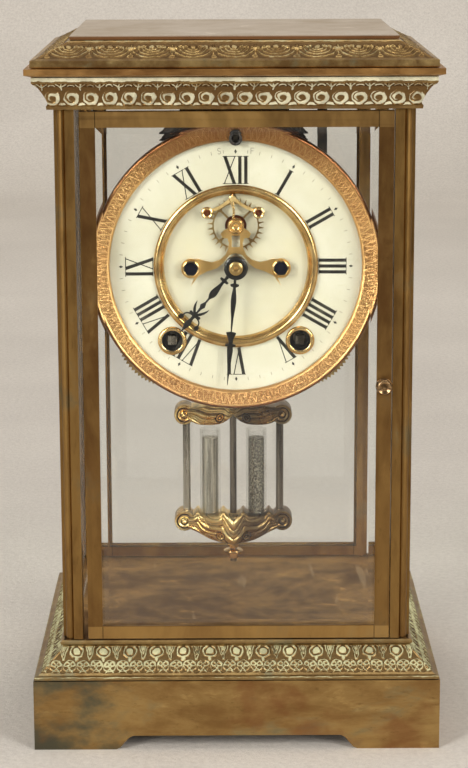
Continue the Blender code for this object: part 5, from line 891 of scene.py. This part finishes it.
collar = [(2.1, 50.6), (2.25, 51.0), (2.6, 51.2), (3.0, 51.0), (3.2, 50.6), (3.2, 50.1),
          (2.1, 50.1)]
boss = [(0.01, 51.0), (0.3, 50.95), (0.5, 50.5), (0.9, 50.45), (1.4, 50.7), (1.7, 50.4),
        (1.8, 50.2), (0.01, 50.2)]
add("bridge_collar", [turned(collar, hub), turned(boss, hub)], gilt, "case")

# The escape wheel has thirty long raked teeth on a thin rim, and four spokes from a collet
# painted dark, as painted shade under the bridge's collar. Its arbor runs back to a pinion of
# eight leaves inside the movement.


def gear(outer, inner, front, back):
    """A flat ring or disc whose outer radius is given at even angles: a point is that
    radius * (cos, sin) of its angle."""
    angle = np.linspace(0.0, 2 * math.pi, len(outer), endpoint=False)
    bore = inner + 0 * outer
    corners = ((bore, front), (outer, front), (outer, back), (bore, back))
    return np.stack([np.stack([hub[0] + r * np.cos(angle), 0 * angle - y,
                               hub[2] + r * np.sin(angle)], -1) for r, y in corners], 1), True


def in_front(grid, depth, centre=dial):
    """Places (across, up, lift) at a depth in front of the case's middle."""
    return np.stack([centre[0] + grid[..., 0], -(depth + grid[..., 2]),
                     centre[2] + grid[..., 1]], -1), False


teeth, points_each, leaves_cut = 30, 20, 8
rim_inner, rim_outer, tip = 8.5, 9.1, 10.9
phase = np.arange(teeth * points_each) / points_each % 1.0
tooth = np.interp(phase, [0.0, 0.28, 0.44, 0.58, 0.66, 0.72, 0.78, 1.0],
                  [rim_outer, rim_outer, 9.55, tip, tip, 9.6, rim_outer, rim_outer])
pinion = 1.75 + 0.45 * np.cos(np.arange(12 * leaves_cut) / 12.0 * 2 * math.pi)
wheel_parts = [gear(tooth, rim_inner, 48.7, 48.0), gear(pinion, 0.02, 16.6, 14.6),
               turned([(0.02, 48.9), (1.6, 48.95), (4.1, 48.9), (4.2, 48.7), (4.2, 48.1),
                       (0.7, 48.0), (0.7, 4.9), (0.02, 4.9)], hub, 40)]
run = np.linspace(3.9, 8.8, 12)
for quarter in range(4):
    path = turned_to(np.stack([0 * run, run], -1), 45 + 90 * quarter)
    spoke = stroke(path, 0.8 + 1.3 * ridge(run - 8.8, 0.6), 0.0, 0.0, 0.5)
    wheel_parts.append(in_front(spoke, 48.1, hub))
wheel_brass = old_brass("escape_wheel_brass", (0.46, 0.32, 0.13), (0.24, 0.14, 0.05),
                        (0.30, 0.24, 0.12), 90.0, wear=0.3, rough=0.34)
# Painted shade: the wheel is painted near black within the collet's radius.
wheel_brass.over(1.0 - wheel_brass.step(wheel_brass.way_from(hub), 0.0041, 0.0044),
                 (0.10, 0.030, 0.012))
add("escape_wheel_cut", wheel_parts, wheel_brass, "escape_wheel", "escape_wheel",
    30.0)

# The anchor is a flat gilt fork that rocks over the wheel. Each arm ends in a brass stud
# with a dark red stone in it, and a small pierced finger stands over its arbor.
pale_gilt = mottled("pale_gilt", 0.8, 0.34, (0.42, 0.27, 0.09), (0.72, 0.52, 0.23), 150.0,
                    span=(0.35, 0.65), drift=0.2)
dress(pale_gilt, "anchor")
stone = mottled("pallet_stone", 0.0, 0.08, (0.025, 0.005, 0.002), (0.10, 0.025, 0.006),
                700.0, 2.0)
stone.shader.inputs["Specular IOR Level"].default_value = 0.3
pivot = dial + [-1.1, 0.0, 26.6]
stud = [(1.3, 50.5), (1.45, 50.9), (1.75, 51.05), (2.1, 50.9), (2.3, 50.5), (2.3, 49.6),
        (1.3, 49.6)]
drop = [(0.01, 50.95), (0.7, 50.9), (1.28, 50.7), (1.28, 49.8), (0.01, 49.8)]
spots = [pivot + [across, 0.0, -5.5] for across in (-10.0, 10.0)]
add("anchor_studs", [turned(stud, spot, 48) for spot in spots], gilt, "anchor")
add("anchor_stones", [turned(drop, spot, 32) for spot in spots], stone, "anchor")
along = np.linspace(0.0, 1.0, 20)
finger = stroke(np.stack([0.35 * np.sin(along * 6.0), -7.6 + 9.4 * along], -1),
                0.9 + 1.6 * ridge(along - 0.80, 0.12) + 0.4 * ridge(along - 0.55, 0.05)
                - 0.75 * rise(along, 0.85, 1.0), 0.0, 0.25, 0.35)
add("anchor_finger", [in_front(finger, 49.9, pivot)], gilt, "anchor")

# The hands are pierced and blackened steel, pushed on the centre arbor and its pipe. The
# minute hand points just past the half hour, and the hour hand between seven and eight.
hand_black = mottled("hand_black", 0.6, 0.30, (0.006, 0.006, 0.006), (0.03, 0.028, 0.024),
                     260.0, 3.0)
minute_length, minute_turn, hour_length, hour_turn = 46.6, 184.3, 33.4, 220.5


def blade(shares, length, degrees, depth):
    """A hand's blade: the half width at each share of its length is joined smoothly."""
    shares = np.array(shares)
    along = np.linspace(shares[0, 0], shares[-1, 0], 140)
    width = 2 * length * np.interp(along, shares[:, 0], shares[:, 1])
    path = turned_to(np.stack([0 * along, along * length], -1), degrees)
    return in_front(stroke(path, width, 0.0, 0.16, 0.42), depth)


minute_shares = [(0.05, 0.014), (0.132, 0.011), (0.137, 0.036), (0.158, 0.036),
                 (0.163, 0.011), (0.19, 0.014), (0.24, 0.0215), (0.285, 0.0240),
                 (0.34, 0.020), (0.43, 0.010), (0.535, 0.0055), (0.545, 0.0060),
                 (0.549, 0.042), (0.556, 0.042), (0.61, 0.0205), (0.645, 0.016),
                 (0.650, 0.044), (0.666, 0.044), (0.671, 0.022), (0.70, 0.0255),
                 (0.78, 0.0185), (0.88, 0.0095), (1.0, 0.002)]
collet = [(2.75, 54.5), (3.2, 54.75), (4.1, 54.65), (4.6, 54.3), (4.7, 53.8),
          (4.7, 52.85), (1.35, 52.85), (1.35, 54.0), (2.7, 54.0)]
minute_parts = [blade(minute_shares, minute_length, minute_turn, 52.75),
                turned(collet, dial)]
add("minute_hand_pierced", minute_parts, hand_black, "minute_hand",
    "minute_hand")

hour_shares = [(0.10, 0.030), (0.190, 0.015), (0.197, 0.056), (0.222, 0.056), (0.229, 0.016),
               (0.29, 0.022), (0.36, 0.038), (0.405, 0.043), (0.44, 0.036), (0.485, 0.012),
               (0.545, 0.011), (0.60, 0.034), (0.635, 0.016), (0.70, 0.012), (0.722, 0.022),
               (0.727, 0.058), (0.750, 0.058), (0.755, 0.022), (0.80, 0.018), (0.868, 0.036),
               (0.90, 0.030), (0.95, 0.014), (1.0, 0.004)]
hour_parts = [blade(hour_shares, hour_length, hour_turn, 51.32)]
along = np.linspace(0.0, 1.0, 30)
disc = np.sqrt(np.clip(1 - (2 * along - 1) ** 2, 0.01, 1))
for side in (-1, 1):
    for across, up, width, depth in (
            (0.3 + 2.7 * np.sin(along * 1.35), 24.3 - 4.6 * along ** 1.3,
             np.sin(math.pi * (0.25 + 0.72 * along)) + 0.08, 51.34),
            (0.3 + 3.5 * np.sin(along * 1.5), 25.2 + 0.3 * along + 2.7 * along ** 3,
             0.62 - 0.1 * along, 51.34),
            (3.8, 28.3 + 0.95 * (2 * along - 1), 1.9 * disc, 51.34),
            (2.0, 24.68 + 0.6 * (2 * along - 1), 1.2 * disc, 51.33)):
        path = turned_to(np.stack(np.broadcast_arrays(side * across, up), -1), hour_turn)
        hour_parts.append(in_front(stroke(path, width, 0.0, 0.1, 0.40), depth))
pipe = [(1.35, 51.9), (4.4, 51.9), (4.6, 51.6), (4.6, 51.2), (2.4, 51.15), (2.4, 43.1),
        (1.35, 43.1)]
hour_parts.append(turned(pipe, dial, 48))
add("hour_hand_pierced", hour_parts, hand_black, "hour_hand", "hour_hand")

# The centre arbor ends in a turned brass cap, in front of the minute hand's collet, which
# it holds on.
cap_outline = [(0.01, 55.8), (0.45, 55.7), (0.75, 55.3), (1.2, 55.25), (1.6, 55.5),
               (2.0, 55.5), (2.4, 55.35), (2.6, 55.22), (2.6, 54.9), (0.01, 54.9)]
add("arbor_cap", [turned(cap_outline, dial, 48)], clock_brass, "minute_hand")

# The pendulum is a pair of glass tubes of mercury in a frame: a steel rod down the middle
# and a thinner one at each side, between two brackets.
dress(steel, "pendulum_side_rod_left")
# Painted shade: the centre rod and the right side rod take a darker copy of the polished
# steel.
shaded_steel = mottled("steel_painted_shade", 1.0, 0.2, (0.035, 0.026, 0.018), (0.24, 0.20, 0.15),
                     300.0, 3.0, (1.0, 1.0, 0.05), (0.35, 0.65), 0.2)
dress(shaded_steel, "pendulum_rod", "pendulum_side_rod_right")
tube_glass = Finish("tube_glass", 1.0, 0.05, base_color=(0.62, 0.62, 0.56, 1.0))
edge_on = tube_glass.node("LayerWeight", {}, {"Blend": 0.35}, 1)
grease = tube_glass.noise(120.0, (1.0, 1.0, 0.3))
tube_glass.feed("Alpha", 0.05 + 0.05 * grease + 0.55 * edge_on * edge_on)
tube_glass.feed("Roughness", 0.03 + 0.15 * grease)
dress(tube_glass, "pendulum_tube_left", "pendulum_tube_right")
mercury = Finish("mercury", 1.0, 0.30)
streaks = mercury.noise(900.0, (1.0, 1.0, 0.04), 3.0, 0.6)
specks = mercury.noise(2000.0, (1.0, 1.0, 0.6), 4.0, 0.8)
left_mercury = mercury.mix(mercury.step(streaks, 0.40, 0.60), (0.26, 0.235, 0.185),
                    (0.62, 0.57, 0.46))
left_mercury = mercury.mix(mercury.step(specks, 0.52, 0.66) * 0.6, left_mercury, (0.10, 0.085, 0.06))
# Painted shade: the right column is painted darker than the left.
right_mercury_shade = mercury.mix(mercury.step(specks, 0.46, 0.62), (0.050, 0.040, 0.027),
                   (0.50, 0.45, 0.34))
across, _, _ = mercury.axes()
mercury.feed("Base Color", mercury.mix(mercury.step(across, -0.002, 0.002), left_mercury, right_mercury_shade))
mercury.feed("Roughness", 0.25 + 0.4 * specks)
mercury.bump(streaks, 0.0003)
dress(mercury, "mercury_column_left", "mercury_column_right")

# Both brackets are cast brass, gilt, with acanthus in relief between two scroll ends. The
# rods and tubes stand in them. The gilding is bright on the left and painted dark on the
# right, as painted shade, and its hollows are painted dark, as painted shade.
rod_across, scroll_radius, bracket_face, bracket_back = -0.8, 4.3, 12.4, 21.6
cast_gilt = Finish("cast_gilt", 1.0, 0.24)
lustre = cast_gilt.noise(110.0, detail=5.0, roughness=0.65)
pores = cast_gilt.noise(900.0, detail=3.0)
across, _, _ = cast_gilt.axes()
# Painted shade: the right half of the gilding is painted dark.
gilt_right_shade = cast_gilt.step(across + (lustre - 0.5) * 0.02, -0.003, 0.004)
# Painted shade: the relief's hollows are painted near black.
hollows = cast_gilt.step(cast_gilt.painted("sunk_shade") + (lustre - 0.5) * 0.9, 0.30, 0.66)
cast_gilt.feed("Base Color", cast_gilt.mix(cast_gilt.step(lustre, 0.38, 0.62),
                                           (0.80, 0.51, 0.17), (1.0, 0.80, 0.38)))
cast_gilt.over(gilt_right_shade * 0.85, (0.13, 0.065, 0.022))
cast_gilt.over(hollows, (0.07, 0.030, 0.009))
cast_gilt.feed("Roughness", 0.19 + 0.20 * lustre)
cast_gilt.bump(pores, 0.00012)


def leaves(side, height, low, top):
    """Acanthus relief, from 0 to 1: ribs that fall towards the middle, each a rounded sine
    of a phase that grows with height and drops along the bracket and, fast, at its middle,
    with finer veins on them, and a curled leaf end, a ring about its own centre."""
    share = (height - low) / (top - low)
    fall = np.exp(-np.hypot(side, 1.0) / 3.5)
    sway = np.sin(0.55 * side + 3.0 * share)
    ribs = np.abs(np.sin(5.5 * share - 0.13 * side + 1.0 * fall + 0.4 * sway)) ** 0.7
    veins = np.abs(np.cos(10.5 * share - 0.25 * side + 2.5 * fall + 0.65 * sway)) ** 0.6
    away = np.hypot(side - 5.6, height - low - 3.0)
    curl = ridge(away - 1.25, 0.42) + ridge(away, 0.5)
    return np.clip(np.where(away < 1.9, curl, 0.45 * ribs + 0.50 * veins), 0.0, 1.0)


def bracket(low, top, stand):
    """The cast front of a bracket, and how deep each of its points looks, which its finish
    paints as shade. For each point along it, the foot and the head are curves, and the relief
    between them stands out from the face by the leaves' height."""
    along = np.linspace(-19.2, 19.2, 250)
    side = np.abs(along)
    foot, head = low(side), top(side)
    share = np.linspace(0.0, 1.0, 44)
    height = foot[:, None] + (head - foot)[:, None] * share
    relief = leaves(side[:, None], height, foot[:, None], head[:, None])
    edge = np.sqrt(np.clip(1.0 - np.abs(2.0 * share - 1.0) ** 3, 0.0, 1.0))
    depth = bracket_face - stand * relief * edge[None, :] - 0.9 * edge[None, :]
    front = np.stack([np.broadcast_to(along[:, None], height.shape), depth, height], -1)
    back = np.stack([np.stack([along, np.full_like(along, bracket_back), h], -1)
                     for h in (head, foot)], 1)
    grid = np.concatenate([front, back], 1) + [rod_across, 0.0, 0.0]
    return grid, np.hstack([1.0 - relief, np.full((len(along), 2), 0.3)]), False


def volute(across, up):
    """A turned scroll end: a boss in a groove in a rolled ring, about a fore-and-aft axis
    through the point (across, up). Its grooves and outer edge are marked for painted shade."""
    shape = np.array([(0.01, 14.0), (0.5, 13.9), (0.85, 13.4), (1.0, 12.5), (1.35, 12.3),
                      (1.7, 12.9), (2.1, 13.1), (2.45, 12.8), (2.65, 12.2), (2.9, 12.2),
                      (3.2, 12.9), (3.6, 13.0), (3.9, 12.6), (4.0, 11.8), (4.0, 2.8),
                      (0.01, 2.8)])
    place = shape[:, 0] / 4.0
    shape = np.column_stack([place * scroll_radius, shape[:, 1] - 24.6])
    grid, _ = turned(shape, (rod_across + across, 0.0, up), 48)
    sunk_shade = ridge(place - 0.34, 0.06) + ridge(place - 0.69, 0.06) + 0.5 * (place > 0.99)
    return grid, np.broadcast_to(sunk_shade, grid.shape[:2]), True


def cast_piece(name, parts, instead):
    """Joins (grid, sunk_shade, round) parts in one cast piece on the pendulum; sunk_shade
    marks where its finish paints shade.
    """
    mesh = skin([(grid, is_round) for grid, _, is_round in parts], name)
    paint(mesh, "sunk_shade", np.concatenate([sunk_shade.ravel() for _, sunk_shade, _ in parts]))
    add(name, mesh, cast_gilt, "pendulum", instead, 45.0)


upper = [bracket(lambda a: 112.7 + 3.4 * np.abs((a - 10.4) / 9.4) ** 3,
                 lambda a: 121.4 - 1.1 * rise(a, 8.0, 19.0) - 1.6 * (1.0 - rise(a, 0.5, 4.0)),
                 1.5)]
upper += [volute(across, 117.2) for across in (-20.6, 20.6)]
cast_piece("upper_bracket_relief", upper, "pendulum_upper_bracket")
lower = [bracket(lambda a: 59.8 + 0.40 * a - 1.1 * np.sin(math.pi * a / 18.0) ** 2,
                 lambda a: 73.1 + 1.9 * (ridge(a - 4.3, 1.2) + ridge(a - 15.2, 1.2)), 1.3)]
lower += [volute(across, 70.7) for across in (-20.8, 20.8)]
ball = [(0.01, 57.6), (1.3, 57.9), (2.1, 58.7), (2.4, 59.9), (2.1, 61.1), (1.3, 61.9),
        (0.01, 62.2)]
finial, _ = turned(ball, (rod_across, 15.0, 0.0), 40, "z")
lower.append((finial, np.zeros(finial.shape[:2]), True))
cast_piece("lower_bracket_relief", lower, "pendulum_lower_bracket")

# The rating nut is a polished brass disc with a rounded edge, screwed on the end of the
# rod under the lower bracket.
nut = [(1.55, 53.1), (1.95, 53.1), (2.0, 55.2), (2.6, 55.6), (3.9, 55.9), (4.1, 56.3),
       (3.9, 56.7), (2.4, 56.9), (2.2, 57.1), (1.55, 57.1)]
add("rating_nut_turned", [turned(nut, (rod_across, 17.0, 0.0), 48, "z")], gilt,
    "rating_nut", "rating_nut")
